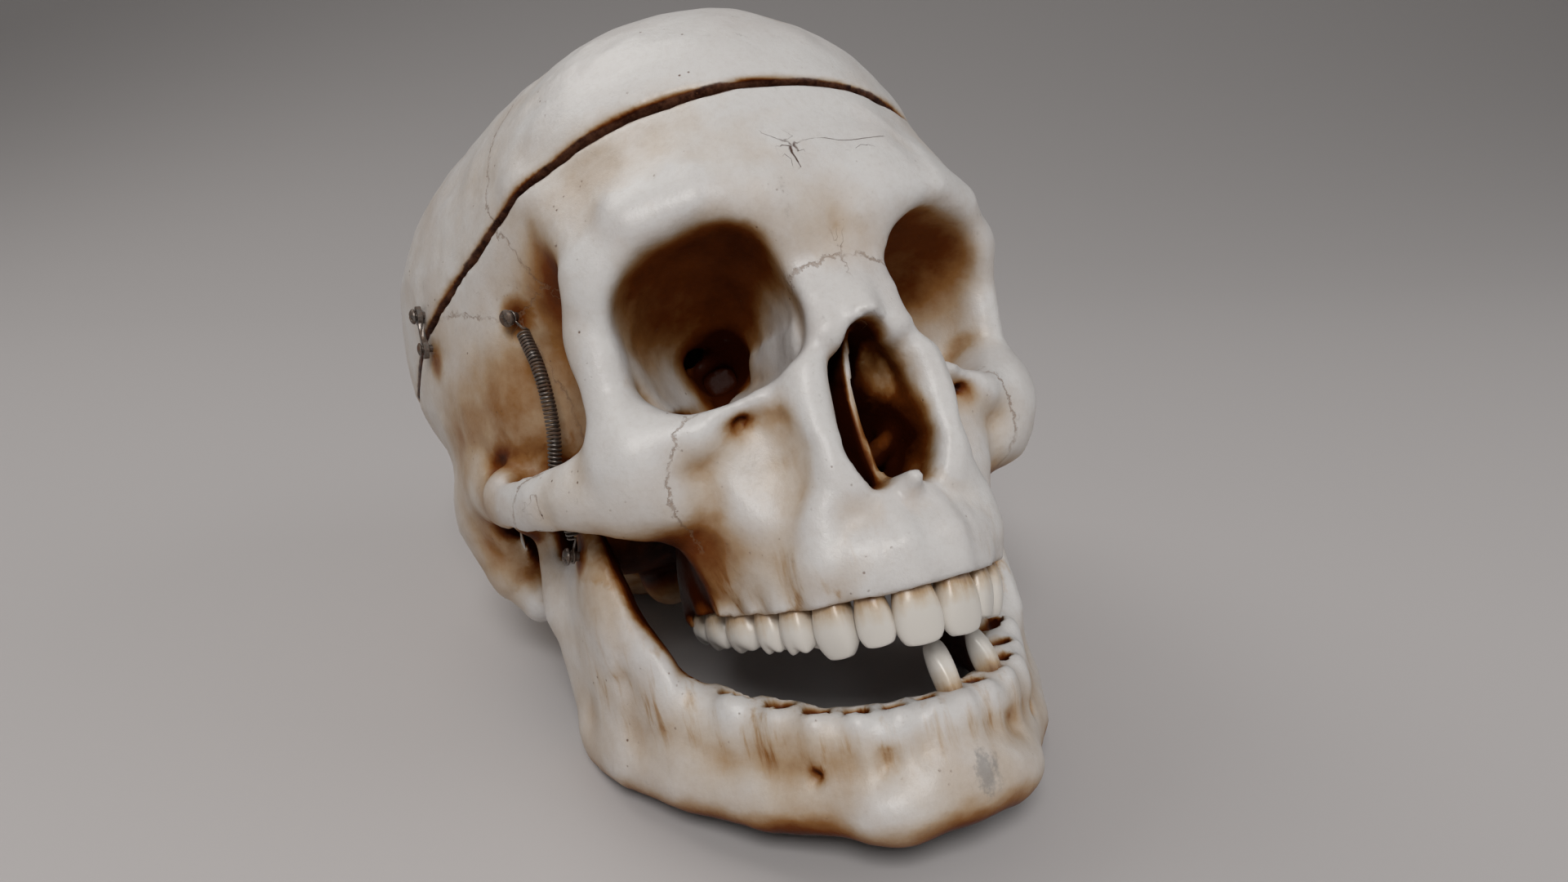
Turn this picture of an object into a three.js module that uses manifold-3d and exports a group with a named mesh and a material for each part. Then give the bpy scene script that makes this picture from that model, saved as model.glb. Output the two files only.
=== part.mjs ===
// Anatomy teaching skull, life size: a cranium with a lift-off skull cap held by two side hooks,
// and a lower jaw that swings at the condyles on two coil springs. The teeth are set in sockets.
import * as THREE from "three";
import { mergeVertices } from "three/addons/utils/BufferGeometryUtils.js";
import { edgeTable, triTable } from "three/addons/objects/MarchingCubes.js";
import Module from "manifold-3d";

const wasm = await Module();
wasm.setup();
const { Manifold, Mesh: SolidMesh } = wasm;

// Driving sizes of the head, in millimetres. The head frame has x to the skull's left, the face
// towards -y and z up from the plane through the ear openings and the lower orbit rims.
const headBreadth = 140;
const headLength = 180;
const headHeight = 200;
const boneWall = 6;
const seamGap = 0.6;
const seamHeight = 45;
const orbitWidth = 35;
const orbitHeight = 33;
const orbitApexWidth = 7;
const orbitApexHeight = 6;
const noseWidth = 21;
const noseTopWidth = 9;
const septumWall = 2.4;
const foramenWidth = 29;
const foramenLength = 35;
const archWidth = 50;
const archDepth = 45;
const gumLineShare = 0.415;
const gumRiseShare = 0.105;
const jawGap = 0.9;
const fitGap = 0.3;
const cutOverrun = 3;
const restFlat = 0.8;

// Blend radii between the rounded forms of bone.
const broadBlend = 14;
const wideBlend = 9;
const softBlend = 6;
const snugBlend = 4;
const crispBlend = 2;

// Teeth, from the middle of the arch to the back.
const toothWidths = [8.6, 6.6, 7.6, 6.8, 6.6, 9.8, 9.2, 8];
const toothDepths = [7, 6.2, 8, 9, 9.2, 11, 10.8, 10];
const crownHeights = [10.5, 9, 10.2, 8.2, 7.8, 7.4, 7.2, 6.6];
const rootLength = 8;
const lowerToothWidth = 5.6;
const lowerToothDepth = 6;
const lowerRootLength = 7;
const emptySocketDepth = 5;
const biteGap = 0.4;
const toothGap = 0.4;

// Hardware.
const screwRadius = 1;
const screwDepth = 4.2;
const screwHeadRadius = 1.9;
const screwHeadHeight = 1.3;
const springScrewNeck = 2.2;
const hookThickness = 1.2;
const hookEyeRadius = 2.4;
const hookBarWidth = 2;
const hookTip = 1.2;
const pinRadius = 0.9;
const pinHeadRadius = 1.6;
const pinHeadHeight = 0.9;
const hookStandoff = 0.8;
const jawScrewDepth = 3.2;
const hookReach = 8.4;
const pivotAboveSeam = 4;
const dowelRadius = 1.2;
const dowelLength = 8;
const coilRadius = 1.3;
const wireRadius = 0.27;
const springTurns = 30;
const springLead = 2.6;

// Ranges of motion, in degrees.
const jawOpening = 20;

const gridStep = 2.4;
const headTriangles = 4600;
const jawTriangles = 1400;

// Half sizes that the share tables follow: half breadth, half length, half height.
const half = [headBreadth / 2, headLength / 2, headHeight / 2];

// Rounded volumes: centre shares, then half-size shares.
const braincaseShares = [
  [[0, 0.065, 0.46], [0.915, 0.955, 0.66]],
  [[0.37, 0.3, 0.5], [0.605, 0.545, 0.49]],
  [[0, -0.42, 0.53], [0.715, 0.49, 0.46]],
  [[0, 0.6, 0.24], [0.655, 0.435, 0.36]],
  [[0.385, -0.02, 0.18], [0.515, 0.445, 0.33]],
  [[0, 0.445, 0.02], [0.645, 0.42, 0.31]],
  [[0.47, -0.31, 0.14], [0.3, 0.265, 0.22]],
];
const templeShares = [[0.9, -0.535, 0.08], [0.285, 0.17, 0.27]];
const cheekShares = [[0.585, -0.7, -0.07], [0.16, 0.11, 0.11]];
const ethmoidShares = [[0, -0.69, 0.17], [0.17, 0.245, 0.18]];
const maxillaShares = [[0.235, -0.7, -0.15], [0.245, 0.21, 0.22]];
const palateFloorShares = [[0, -0.77, -0.28], [0.25, 0.19, 0.085]];
const tuberosityShares = [[0.32, -0.51, -0.2], [0.13, 0.11, 0.16]];
const canineHollowShares = [[0.37, -0.925, -0.14], [0.115, 0.067, 0.09]];
const temporalBaseShares = [[0.4, -0.065, -0.11], [0.385, 0.165, 0.12]];
const sphenoidShares = [[0, -0.38, 0.04], [0.285, 0.18, 0.15]];
const greatWingShares = [[0.415, -0.465, 0.06], [0.215, 0.155, 0.16]];
const earPlateShares = [[0.73, 0.035, -0.07], [0.12, 0.045, 0.08]];
const inionShares = [[0, 0.94, 0], [0.07, 0.035, 0.04]];
const skullCondyleShares = [[0.25, 0.09, -0.25], [0.1, 0.133, 0.075]];
const palateShares = [[0, -0.665, -0.44], [0.26, 0.3, 0.14]];
const orbitRoofShares = [[0.37, -0.73, 0.26], [0.485, 0.335, 0.11]];
const noseRoofShares = [[0, -0.665, 0.2], [0.2, 0.38, 0.22]];
const sellaShares = [[0, -0.38, 0.02], [0.215, 0.155, 0.14]];
const condyleShares = [[0.7, -0.12, -0.065], [0.135, 0.05, 0.05]];
const ramusPlateShares = [[0.69, -0.265, -0.4], [0.052, 0.19, 0.22]];
const chinShares = [[0, -0.9, -0.78], [0.155, 0.055, 0.07]];
const chinCornerShares = [[0.17, -0.855, -0.8], [0.115, 0.067, 0.055]];

// Ridges and bars: rows of place shares with a radius share of the half breadth.
const templeFloorShares = [[0.83, -0.265, -0.2, 0.17], [0.855, -0.38, -0.12, 0.2]];
const browShares = [
  [0, -0.87, 0.38, 0.115], [0.17, -0.9, 0.365, 0.107], [0.37, -0.89, 0.38, 0.086],
  [0.53, -0.835, 0.365, 0.08], [0.62, -0.755, 0.3, 0.07],
];
const outerRimShares = [
  [0.62, -0.745, 0.3, 0.07], [0.65, -0.715, 0.2, 0.063], [0.65, -0.7, 0.08, 0.066],
  [0.62, -0.72, -0.04, 0.09],
];
const outerWallShares = [
  [0.615, -0.68, 0.2, 0.057], [0.515, -0.6, 0.14, 0.066], [0.43, -0.51, 0.12, 0.086],
];
const cheekEdgeShares = [
  [0.74, -0.59, -0.095, 0.066], [0.65, -0.665, -0.135, 0.07], [0.53, -0.72, -0.155, 0.07],
];
const lowerRimShares = [
  [0.62, -0.73, -0.02, 0.07], [0.47, -0.805, -0.045, 0.064], [0.315, -0.855, -0.01, 0.057],
  [0.22, -0.865, 0.08, 0.057],
];
const frontalProcessShares = [
  [0.085, -0.855, 0.27, 0.07], [0.155, -0.875, 0.12, 0.07], [0.2, -0.905, -0.01, 0.06],
  [0.22, -0.9, -0.14, 0.066],
];
const nasalBoneShares = [
  [0.03, -0.865, 0.31, 0.1], [0.065, -0.87, 0.23, 0.085], [0.09, -0.915, 0.15, 0.077],
  [0.105, -0.955, 0.09, 0.064],
];
const nasalRidgeShares = [[0, -0.88, 0.28, 0.08], [0, -0.915, 0.18, 0.069], [0, -0.99, 0.09, 0.049]];
const noseBorderShares = [
  [0.19, -0.935, 0.02, 0.05], [0.2, -0.935, -0.1, 0.055], [0.16, -0.94, -0.21, 0.064],
];
const cheekCrestShares = [
  [0.57, -0.645, -0.14, 0.07], [0.46, -0.655, -0.2, 0.06], [0.39, -0.645, -0.3, 0.055],
];
const canineRidgeShares = [[0.235, -0.925, -0.18, 0.037], [0.25, -0.91, -0.33, 0.048]];
const earCrestShares = [
  [0.82, -0.045, 0.04, 0.08], [0.82, 0.11, 0.06, 0.08], [0.8, 0.265, 0.12, 0.057],
];
const clivusShares = [[0, 0.065, -0.21, 0.13], [0, -0.18, -0.14, 0.143], [0, -0.335, -0.04, 0.17]];
const mastoidShares = [[0.77, 0.19, 0, 0.2], [0.755, 0.165, -0.13, 0.15], [0.715, 0.135, -0.23, 0.093]];
const eminenceShares = [[0.57, -0.245, -0.03, 0.08], [0.83, -0.255, -0.02, 0.08]];
const nuchalShares = [
  [0, 0.925, -0.01, 0.03], [0.285, 0.88, 0.01, 0.03], [0.54, 0.73, 0.03, 0.03], [0.74, 0.5, 0.04, 0.03],
];
const outerPterygoidShares = [
  [0.215, -0.39, -0.04, 0.07], [0.27, -0.365, -0.2, 0.064], [0.285, -0.345, -0.33, 0.046],
];
const innerPterygoidShares = [[0.17, -0.4, -0.04, 0.057], [0.17, -0.4, -0.33, 0.043]];
const earCanalShares = [[1.06, 0.01, -0.05, 0.057], [0.63, -0.035, -0.05, 0.043]];
const mastoidGrooveShares = [[0.615, 0.045, -0.27, 0.043], [0.615, 0.335, -0.2, 0.043]];
const cheekArchShares = [
  [0.625, -0.68, -0.08, 0.093], [0.745, -0.59, -0.085, 0.08], [0.83, -0.48, -0.075, 0.063],
  [0.875, -0.335, -0.05, 0.054], [0.88, -0.2, -0.02, 0.054], [0.865, -0.065, 0.025, 0.071],
  [0.82, 0.045, 0.04, 0.1],
];
const lowerFissureShares = [
  [0.185, -0.465, 0.09, 0.037], [0.315, -0.545, 0.03, 0.034], [0.42, -0.61, 0, 0.03],
];
const upperFissureShares = [
  [0.17, -0.445, 0.15, 0.037], [0.245, -0.42, 0.21, 0.037], [0.34, -0.445, 0.27, 0.026],
];
const petrousShares = [[0.83, 0.065, 0.02, 0.13], [0.54, -0.02, 0.06, 0.13], [0.2, -0.18, 0.06, 0.1]];
const noseSpineShares = [[0, -0.91, -0.25, 0.06], [0, -1.015, -0.22, 0.021]];
const lowerConchaShares = [
  [0.17, -0.82, -0.09, 0.031], [0.1, -0.735, -0.14, 0.046], [0.115, -0.555, -0.14, 0.031],
];
const condyleNeckShares = [
  [0.7, -0.12, -0.08, 0.066], [0.7, -0.105, -0.16, 0.06], [0.705, -0.11, -0.28, 0.08],
];
const ramusRearShares = [
  [0.705, -0.11, -0.18, 0.08], [0.7, -0.14, -0.38, 0.093], [0.68, -0.21, -0.56, 0.107],
];
const coronoidShares = [
  [0.67, -0.365, -0.07, 0.046], [0.67, -0.395, -0.2, 0.086], [0.655, -0.43, -0.36, 0.115],
  [0.6, -0.5, -0.5, 0.115],
];
const jawBaseShares = [
  [0.67, -0.22, -0.575, 0.086], [0.65, -0.365, -0.63, 0.086], [0.565, -0.52, -0.685, 0.086],
  [0.415, -0.68, -0.74, 0.086], [0.23, -0.8, -0.775, 0.093], [0, -0.84, -0.79, 0.1],
];
const jawBodyShares = [
  [0.645, -0.345, -0.54, 0.08], [0.55, -0.5, -0.61, 0.083], [0.42, -0.65, -0.66, 0.08],
  [0.245, -0.8, -0.7, 0.074], [0, -0.86, -0.71, 0.074],
];
const jawRidgeShares = [
  [0.615, -0.42, -0.5, 0.077], [0.515, -0.535, -0.555, 0.08], [0.42, -0.655, -0.6, 0.074],
  [0.315, -0.78, -0.64, 0.066], [0.155, -0.865, -0.66, 0.063], [0, -0.89, -0.665, 0.063],
];

// Stretch of a ridge along x, y and z, as shares of its radius.
const roundShares = [1, 1, 1];
const tallWallShares = [1, 1, 2.4];
const tallRidgeShares = [1, 1, 1.5];
const wideBaseShares = [1.4, 1, 1];
const mastoidStretchShares = [0.85, 1.1, 1];
const outerPlateShares = [0.5, 1.6, 1];
const innerPlateShares = [0.4, 1.3, 1];
const archStretchShares = [0.72, 1, 1.3];
const conchaStretchShares = [0.8, 1, 0.8];
const neckStretchShares = [0.8, 1, 1];
const flatPlateShares = [0.55, 1, 1];
const jawBodyStretchShares = [0.95, 0.95, 1.5];

// Turns of the slanted condyles, in degrees, and the seam's fall towards the back.
const jawCondyleTurn = -14;
const skullCondyleTurn = 25;
const orbitRoll = 14;
const seamSlopeShare = -0.225;

// Places of single features, as shares of the half sizes.
const orbitApexShares = [0.145, -0.41, 0.14];
const orbitFrontShares = [0.42, -0.92, 0.17];
const noseHeightShares = [-0.13, 0.06];
const noseDepthShares = [-1.22, -0.4];
const septumSpanShares = [-0.89, -0.45, -0.25, 0.1];
const foramenPlaceShare = 0.27;
const archBackShare = -0.475;
const archPower = 2.3;
const orbitPower = 2.7;
const orbitSwellShare = 0.56;
const orbitMouthShare = 0.6;
const orbitTipShare = 0.33;
const ridgeHeightShares = [-0.365, -0.315];
const ridgeRadiusShares = [0.085, 0.09];
const ridgeInsetShare = 0.012;
const ridgeStepShares = [0, 0.2, 0.4, 0.6, 0.8, 1];
const gumFrontShare = -0.93;
const gumBackShare = -0.43;
const gumDepthShare = -0.3;
const pivotPlaceShare = 0;
const templeScrewShares = [1, -0.42, 0.34];
const coronoidScrewShares = [1, -0.385, -0.19];
const springPathShares = [[0.745, -0.475, 0.2], [0.74, -0.475, 0.08], [0.755, -0.44, -0.05]];

// Places in millimetres for a row of shares.
function place(shares) {
  return [shares[0] * half[0], shares[1] * half[1], shares[2] * half[2]];
}

function clamp(value, low, high) {
  return Math.min(Math.max(value, low), high);
}

function radians(degrees) {
  return degrees * Math.PI / 180;
}

// Distance forms. Each has its box (low, high) on both sides of the middle and a distance that is
// negative inside; it is asked for x of one side only, because the bones are symmetric.
function bothSides(low, high, distance) {
  const reach = Math.max(Math.abs(low[0]), Math.abs(high[0]));
  return { low: [-reach, low[1], low[2]], high: [reach, high[1], high[2]], distance };
}

function ball([centreShares, reachShares], turn = 0) {
  const [cx, cy, cz] = place(centreShares);
  const [rx, ry, rz] = place(reachShares);
  const cos = Math.cos(radians(turn));
  const sin = Math.sin(radians(turn));
  const longest = Math.max(rx, ry, rz);
  const box = turn === 0 ? [rx, ry, rz] : [longest, longest, longest];
  return bothSides(
    [cx - box[0], cy - box[1], cz - box[2]],
    [cx + box[0], cy + box[1], cz + box[2]],
    (x, y, z) => {
      const u = (cos * (x - cx) + sin * (y - cy)) / rx;
      const v = (cos * (y - cy) - sin * (x - cx)) / ry;
      const w = (z - cz) / rz;
      const near = Math.hypot(u, v, w);
      const slope = Math.hypot(u / rx, v / ry, w / rz) + Number.EPSILON;
      return near * (near - 1) / slope;
    },
  );
}

function bar(points, radii, stretch = roundShares) {
  const [sx, sy, sz] = stretch;
  const thin = Math.min(sx, sy, sz);
  const reach = Math.max(...radii);
  const low = [0, 1, 2].map((i) => Math.min(...points.map((p) => p[i])) - reach * stretch[i]);
  const high = [0, 1, 2].map((i) => Math.max(...points.map((p) => p[i])) + reach * stretch[i]);
  const runs = points.slice(1).map((end, i) => {
    const start = points[i];
    const along = [(end[0] - start[0]) / sx, (end[1] - start[1]) / sy, (end[2] - start[2]) / sz];
    const square = along[0] ** 2 + along[1] ** 2 + along[2] ** 2;
    return { start, along, square, radius: radii[i], growth: radii[i + 1] - radii[i] };
  });
  return bothSides(low, high, (x, y, z) => {
    let best = Infinity;
    for (const run of runs) {
      const dx = (x - run.start[0]) / sx;
      const dy = (y - run.start[1]) / sy;
      const dz = (z - run.start[2]) / sz;
      const share = (dx * run.along[0] + dy * run.along[1] + dz * run.along[2]) / run.square;
      const t = clamp(share, 0, 1);
      const ex = dx - t * run.along[0];
      const ey = dy - t * run.along[1];
      const ez = dz - t * run.along[2];
      best = Math.min(best, Math.sqrt(ex * ex + ey * ey + ez * ez) - run.radius - t * run.growth);
    }
    return best * thin;
  });
}

function ridge(rows, stretch) {
  return bar(rows.map(place), rows.map((row) => row[3] * half[0]), stretch);
}

// The eye socket widens from its apex to the rim with a rounded-square section.
function orbit(grow = 0) {
  const apex = new THREE.Vector3(...place(orbitApexShares));
  const front = new THREE.Vector3(...place(orbitFrontShares));
  const axis = front.clone().sub(apex);
  const length = axis.length();
  axis.normalize();
  const lift = new THREE.Vector3(0, 0, 1).addScaledVector(axis, -axis.z).normalize();
  const out = new THREE.Vector3().crossVectors(lift, axis);
  out.multiplyScalar(Math.sign(out.x));
  const roll = radians(orbitRoll);
  const side = out.clone().multiplyScalar(Math.cos(roll)).addScaledVector(lift, -Math.sin(roll));
  const up = out.clone().multiplyScalar(Math.sin(roll)).addScaledVector(lift, Math.cos(roll));
  const margin = orbitWidth / 2 + boneWall;
  const box = new THREE.Box3().setFromPoints([apex, front]).expandByScalar(margin);
  const point = new THREE.Vector3();
  return bothSides(box.min.toArray(), box.max.toArray(), (x, y, z) => {
    point.set(x - apex.x, y - apex.y, z - apex.z);
    const t = point.dot(axis) / length;
    const swell = Math.sin(clamp(t, 0, 1) * Math.PI * orbitSwellShare) + clamp(t - 1, 0, orbitMouthShare);
    const halfWidth = (orbitApexWidth + (orbitWidth - orbitApexWidth) * swell) / 2 + grow;
    const halfHeight = (orbitApexHeight + (orbitHeight - orbitApexHeight) * swell) / 2 + grow;
    const u = Math.abs(point.dot(side)) / halfWidth;
    const w = Math.abs(point.dot(up)) / halfHeight;
    const q = Math.pow(u ** orbitPower + w ** orbitPower + Number.EPSILON, 1 / orbitPower);
    const behind = -t * length - orbitApexHeight * orbitTipShare - grow;
    return Math.max((q - 1) * Math.min(halfWidth, halfHeight), behind);
  });
}

// The pear-shaped nasal opening runs straight back into the head.
function nose() {
  const [lowZ, highZ] = noseHeightShares.map((share) => share * half[2]);
  const [front, back] = noseDepthShares.map((share) => share * half[1]);
  const low = [-noseWidth / 2, front, lowZ - noseWidth / 2];
  const high = [noseWidth / 2, back, highZ + noseTopWidth / 2];
  return bothSides(low, high, (x, y, z) => {
    const t = clamp((z - lowZ) / (highZ - lowZ), 0, 1);
    const radius = (noseWidth + (noseTopWidth - noseWidth) * t) / 2;
    const across = Math.hypot(x, z - clamp(z, lowZ, highZ)) - radius;
    return Math.max(across, front - y, y - back);
  });
}

function plate(low, high) {
  return bothSides(low, high, (x, y, z) => Math.max(
    x - high[0], low[1] - y, y - high[1], low[2] - z, z - high[2],
  ));
}

// The foramen magnum is an upright oval hole.
function foramen(low, high) {
  const y = foramenPlaceShare * half[1];
  const stretch = [1, foramenLength / foramenWidth, 1];
  return bar([[0, y, low], [0, y, high]], [foramenWidth / 2, foramenWidth / 2], stretch);
}

// Dental arch: a superellipse in plan, walked from the middle at share 0 to the widest place at 1.
function archPoint(share) {
  const angle = share * Math.PI / 2;
  const x = archWidth / 2 * Math.abs(Math.sin(angle)) ** (2 / archPower);
  const depth = archDepth * Math.abs(Math.cos(angle)) ** (2 / archPower);
  const y = archBackShare * half[1] - depth * Math.sign(Math.cos(angle));
  return [x, y];
}

function gumRidge() {
  const inward = ridgeInsetShare * half[0];
  const points = ridgeStepShares.map((share) => {
    const [x, y] = archPoint(share);
    const height = ridgeHeightShares[0] + (ridgeHeightShares[1] - ridgeHeightShares[0]) * share;
    return [x, y + inward, height * half[2]];
  });
  const radii = ridgeStepShares.map((share) => {
    const radius = ridgeRadiusShares[0] + (ridgeRadiusShares[1] - ridgeRadiusShares[0]) * share;
    return radius * half[0];
  });
  return bar(points, radii, tallRidgeShares);
}

// Height of the gum line, which rises towards the back of the arch.
function gumHeight(y) {
  const front = gumFrontShare * half[1];
  const back = gumBackShare * half[1];
  return -gumLineShare * half[2] + gumRiseShare * clamp(y - front, 0, back - front);
}

// Everything below the gum line, behind the front of the arch and in front of the palate's end.
function belowGum() {
  const front = noseDepthShares[0] * half[1];
  const back = gumBackShare * half[1];
  const top = gumDepthShare * half[2];
  return bothSides([-half[0], front, -half[2]], [half[0], back, top], (x, y, z) => Math.max(
    z - gumHeight(y), y - back, z - top,
  ));
}

// Several forms joined with one rounded blend.
function joined(forms, blend) {
  const low = [0, 1, 2].map((i) => Math.min(...forms.map((form) => form.low[i])));
  const high = [0, 1, 2].map((i) => Math.max(...forms.map((form) => form.high[i])));
  return bothSides(low, high, (x, y, z) => (
    forms.reduce((least, form) => roundedMin(least, form.distance(x, y, z), blend), broadBlend)
  ));
}

// The same form, turned with the jaw by an angle about the condyles and grown by the jaw's gap.
function swung(form, angle) {
  const [, py, pz] = place(condyleShares[0]);
  const cos = Math.cos(radians(angle));
  const sin = Math.sin(radians(angle));
  const corners = [form.low, form.high].flatMap(([, y]) => [form.low, form.high].map(([, , z]) => [
    py + cos * (y - py) - sin * (z - pz), pz + sin * (y - py) + cos * (z - pz),
  ]));
  const ys = corners.map((corner) => corner[0]);
  const zs = corners.map((corner) => corner[1]);
  return {
    low: [form.low[0] - jawGap, Math.min(...ys) - jawGap, Math.min(...zs) - jawGap],
    high: [form.high[0] + jawGap, Math.max(...ys) + jawGap, Math.max(...zs) + jawGap],
    distance: (x, y, z) => form.distance(
      x, py + cos * (y - py) + sin * (z - pz), pz + cos * (z - pz) - sin * (y - py),
    ) - jawGap,
  };
}

// Distances sampled on a grid, joined and cut with rounded blends.
class Field {
  constructor(low, high) {
    this.low = low;
    this.size = [0, 1, 2].map((i) => Math.ceil((high[i] - low[i]) / gridStep) + 1);
    this.values = new Float32Array(this.size[0] * this.size[1] * this.size[2]).fill(broadBlend);
  }

  copy() {
    const twin = Object.assign(Object.create(Field.prototype), this);
    twin.values = this.values.slice();
    return twin;
  }

  index(i, j, k) {
    return (k * this.size[1] + j) * this.size[0] + i;
  }

  change(form, blend, sign) {
    const pad = blend + 2 * gridStep;
    const first = this.low.map((low, i) => Math.max(Math.ceil((form.low[i] - pad - low) / gridStep), 0));
    const last = this.low.map((low, i) => (
      Math.min(Math.floor((form.high[i] + pad - low) / gridStep), this.size[i] - 1)
    ));
    for (let k = first[2]; k <= last[2]; k += 1) {
      const z = this.low[2] + k * gridStep;
      for (let j = first[1]; j <= last[1]; j += 1) {
        const y = this.low[1] + j * gridStep;
        for (let i = first[0]; i <= last[0]; i += 1) {
          const at = this.index(i, j, k);
          const other = form.distance(Math.abs(this.low[0] + i * gridStep), y, z);
          this.values[at] = sign * roundedMin(sign * this.values[at], other, blend);
        }
      }
    }
  }

  add(form, blend = 0) {
    this.change(form, blend, 1);
  }

  cut(form, blend = 0) {
    this.change(form, blend, -1);
  }

  // Distance at any place, between the grid's samples.
  at(x, y, z) {
    const spot = [x, y, z].map((value, i) => (
      clamp((value - this.low[i]) / gridStep, 0, this.size[i] - 1 - Number.EPSILON * gridStep)
    ));
    const [i, j, k] = spot.map((value, axis) => Math.min(Math.floor(value), this.size[axis] - 2));
    const [u, v, w] = [spot[0] - i, spot[1] - j, spot[2] - k];
    let sum = 0;
    for (let corner = 0; corner < 8; corner += 1) {
      const [a, b, c] = [corner & 1, corner >> 1 & 1, corner >> 2];
      const weight = (a ? u : 1 - u) * (b ? v : 1 - v) * (c ? w : 1 - w);
      sum += weight * this.values[this.index(i + a, j + b, k + c)];
    }
    return sum;
  }
}

function roundedMin(a, b, blend) {
  if (blend <= 0) {
    return Math.min(a, b);
  }
  const h = clamp(0.5 + 0.5 * (b - a) / blend, 0, 1);
  return b + (a - b) * h - blend * h * (1 - h);
}

// Surface of a field where its distance is zero, as shared points and triangles.
function surfaceOf(field) {
  const [nx, ny, nz] = field.size;
  const stride = [1, nx, nx * ny];
  const corners = [[0, 0, 0], [1, 0, 0], [1, 1, 0], [0, 1, 0], [0, 0, 1], [1, 0, 1], [1, 1, 1], [0, 1, 1]];
  const edges = [
    [0, 1], [1, 2], [3, 2], [0, 3], [4, 5], [5, 6], [7, 6], [4, 7], [0, 4], [1, 5], [2, 6], [3, 7],
  ];
  const points = [];
  const triangles = [];
  const known = new Map();
  const depth = (at) => (field.values[at] === 0 ? Number.EPSILON : field.values[at]);
  for (let k = 0; k < nz - 1; k += 1) {
    for (let j = 0; j < ny - 1; j += 1) {
      for (let i = 0; i < nx - 1; i += 1) {
        const base = field.index(i, j, k);
        const cornerAt = corners.map(([a, b, c]) => base + a * stride[0] + b * stride[1] + c * stride[2]);
        let kind = 0;
        cornerAt.forEach((at, bit) => {
          kind |= depth(at) > 0 ? 1 << bit : 0;
        });
        if (edgeTable[kind] === 0) {
          continue;
        }
        const cell = [i, j, k];
        const pointOn = (edge) => {
          const [start, end] = edges[edge];
          const axis = corners[start].findIndex((value, a) => value !== corners[end][a]);
          const key = cornerAt[start] * 3 + axis;
          if (!known.has(key)) {
            const from = depth(cornerAt[start]);
            const share = from / (from - depth(cornerAt[end]));
            known.set(key, points.length);
            points.push(corners[start].map((value, a) => (
              field.low[a] + (cell[a] + value + (a === axis ? share : 0)) * gridStep
            )));
          }
          return known.get(key);
        };
        for (let t = kind * 16; triTable[t] >= 0; t += 3) {
          triangles.push([triTable[t], triTable[t + 1], triTable[t + 2]].map(pointOn));
        }
      }
    }
  }
  return largestShell(points, triangles);
}

// Keeps the one shell that holds most triangles, so that no crumb of a thin form is left loose.
function largestShell(points, triangles) {
  const parent = points.map((_, i) => i);
  const root = (i) => {
    while (parent[i] !== i) {
      parent[i] = parent[parent[i]];
      i = parent[i];
    }
    return i;
  };
  for (const [a, b, c] of triangles) {
    parent[root(b)] = root(a);
    parent[root(c)] = root(a);
  }
  const counts = new Map();
  for (const [a] of triangles) {
    counts.set(root(a), (counts.get(root(a)) ?? 0) + 1);
  }
  const best = [...counts.entries()].reduce((most, entry) => (entry[1] > most[1] ? entry : most))[0];
  return { points, triangles: triangles.filter(([a]) => root(a) === best) };
}

function faceNormal(p, q, r) {
  const [ux, uy, uz] = [q[0] - p[0], q[1] - p[1], q[2] - p[2]];
  const [vx, vy, vz] = [r[0] - p[0], r[1] - p[1], r[2] - p[2]];
  return [uy * vz - uz * vy, uz * vx - ux * vz, ux * vy - uy * vx];
}

function dot(a, b) {
  return a[0] * b[0] + a[1] * b[1] + a[2] * b[2];
}

// A queue that gives back the entry of lowest cost first.
class CostQueue {
  constructor() {
    this.entries = [];
  }

  push(entry) {
    const heap = this.entries;
    let i = heap.push(entry) - 1;
    while (i > 0 && heap[i - 1 >> 1].cost > heap[i].cost) {
      [heap[i], heap[i - 1 >> 1]] = [heap[i - 1 >> 1], heap[i]];
      i = i - 1 >> 1;
    }
  }

  pop() {
    const heap = this.entries;
    const top = heap[0];
    const last = heap.pop();
    if (heap.length > 0) {
      heap[0] = last;
      let i = 0;
      for (;;) {
        let least = i;
        for (const child of [2 * i + 1, 2 * i + 2]) {
          if (child < heap.length && heap[child].cost < heap[least].cost) {
            least = child;
          }
        }
        if (least === i) {
          break;
        }
        [heap[i], heap[least]] = [heap[least], heap[i]];
        i = least;
      }
    }
    return top;
  }
}

// Limits of the simplification: how flat a fold still gives a best place, what a long edge costs,
// and the least cosine by which a triangle may turn.
const flatFoldLimit = 1e10;
const longEdgeCost = 1e-3;
const leastTurnCosine = 0.25;

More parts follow.
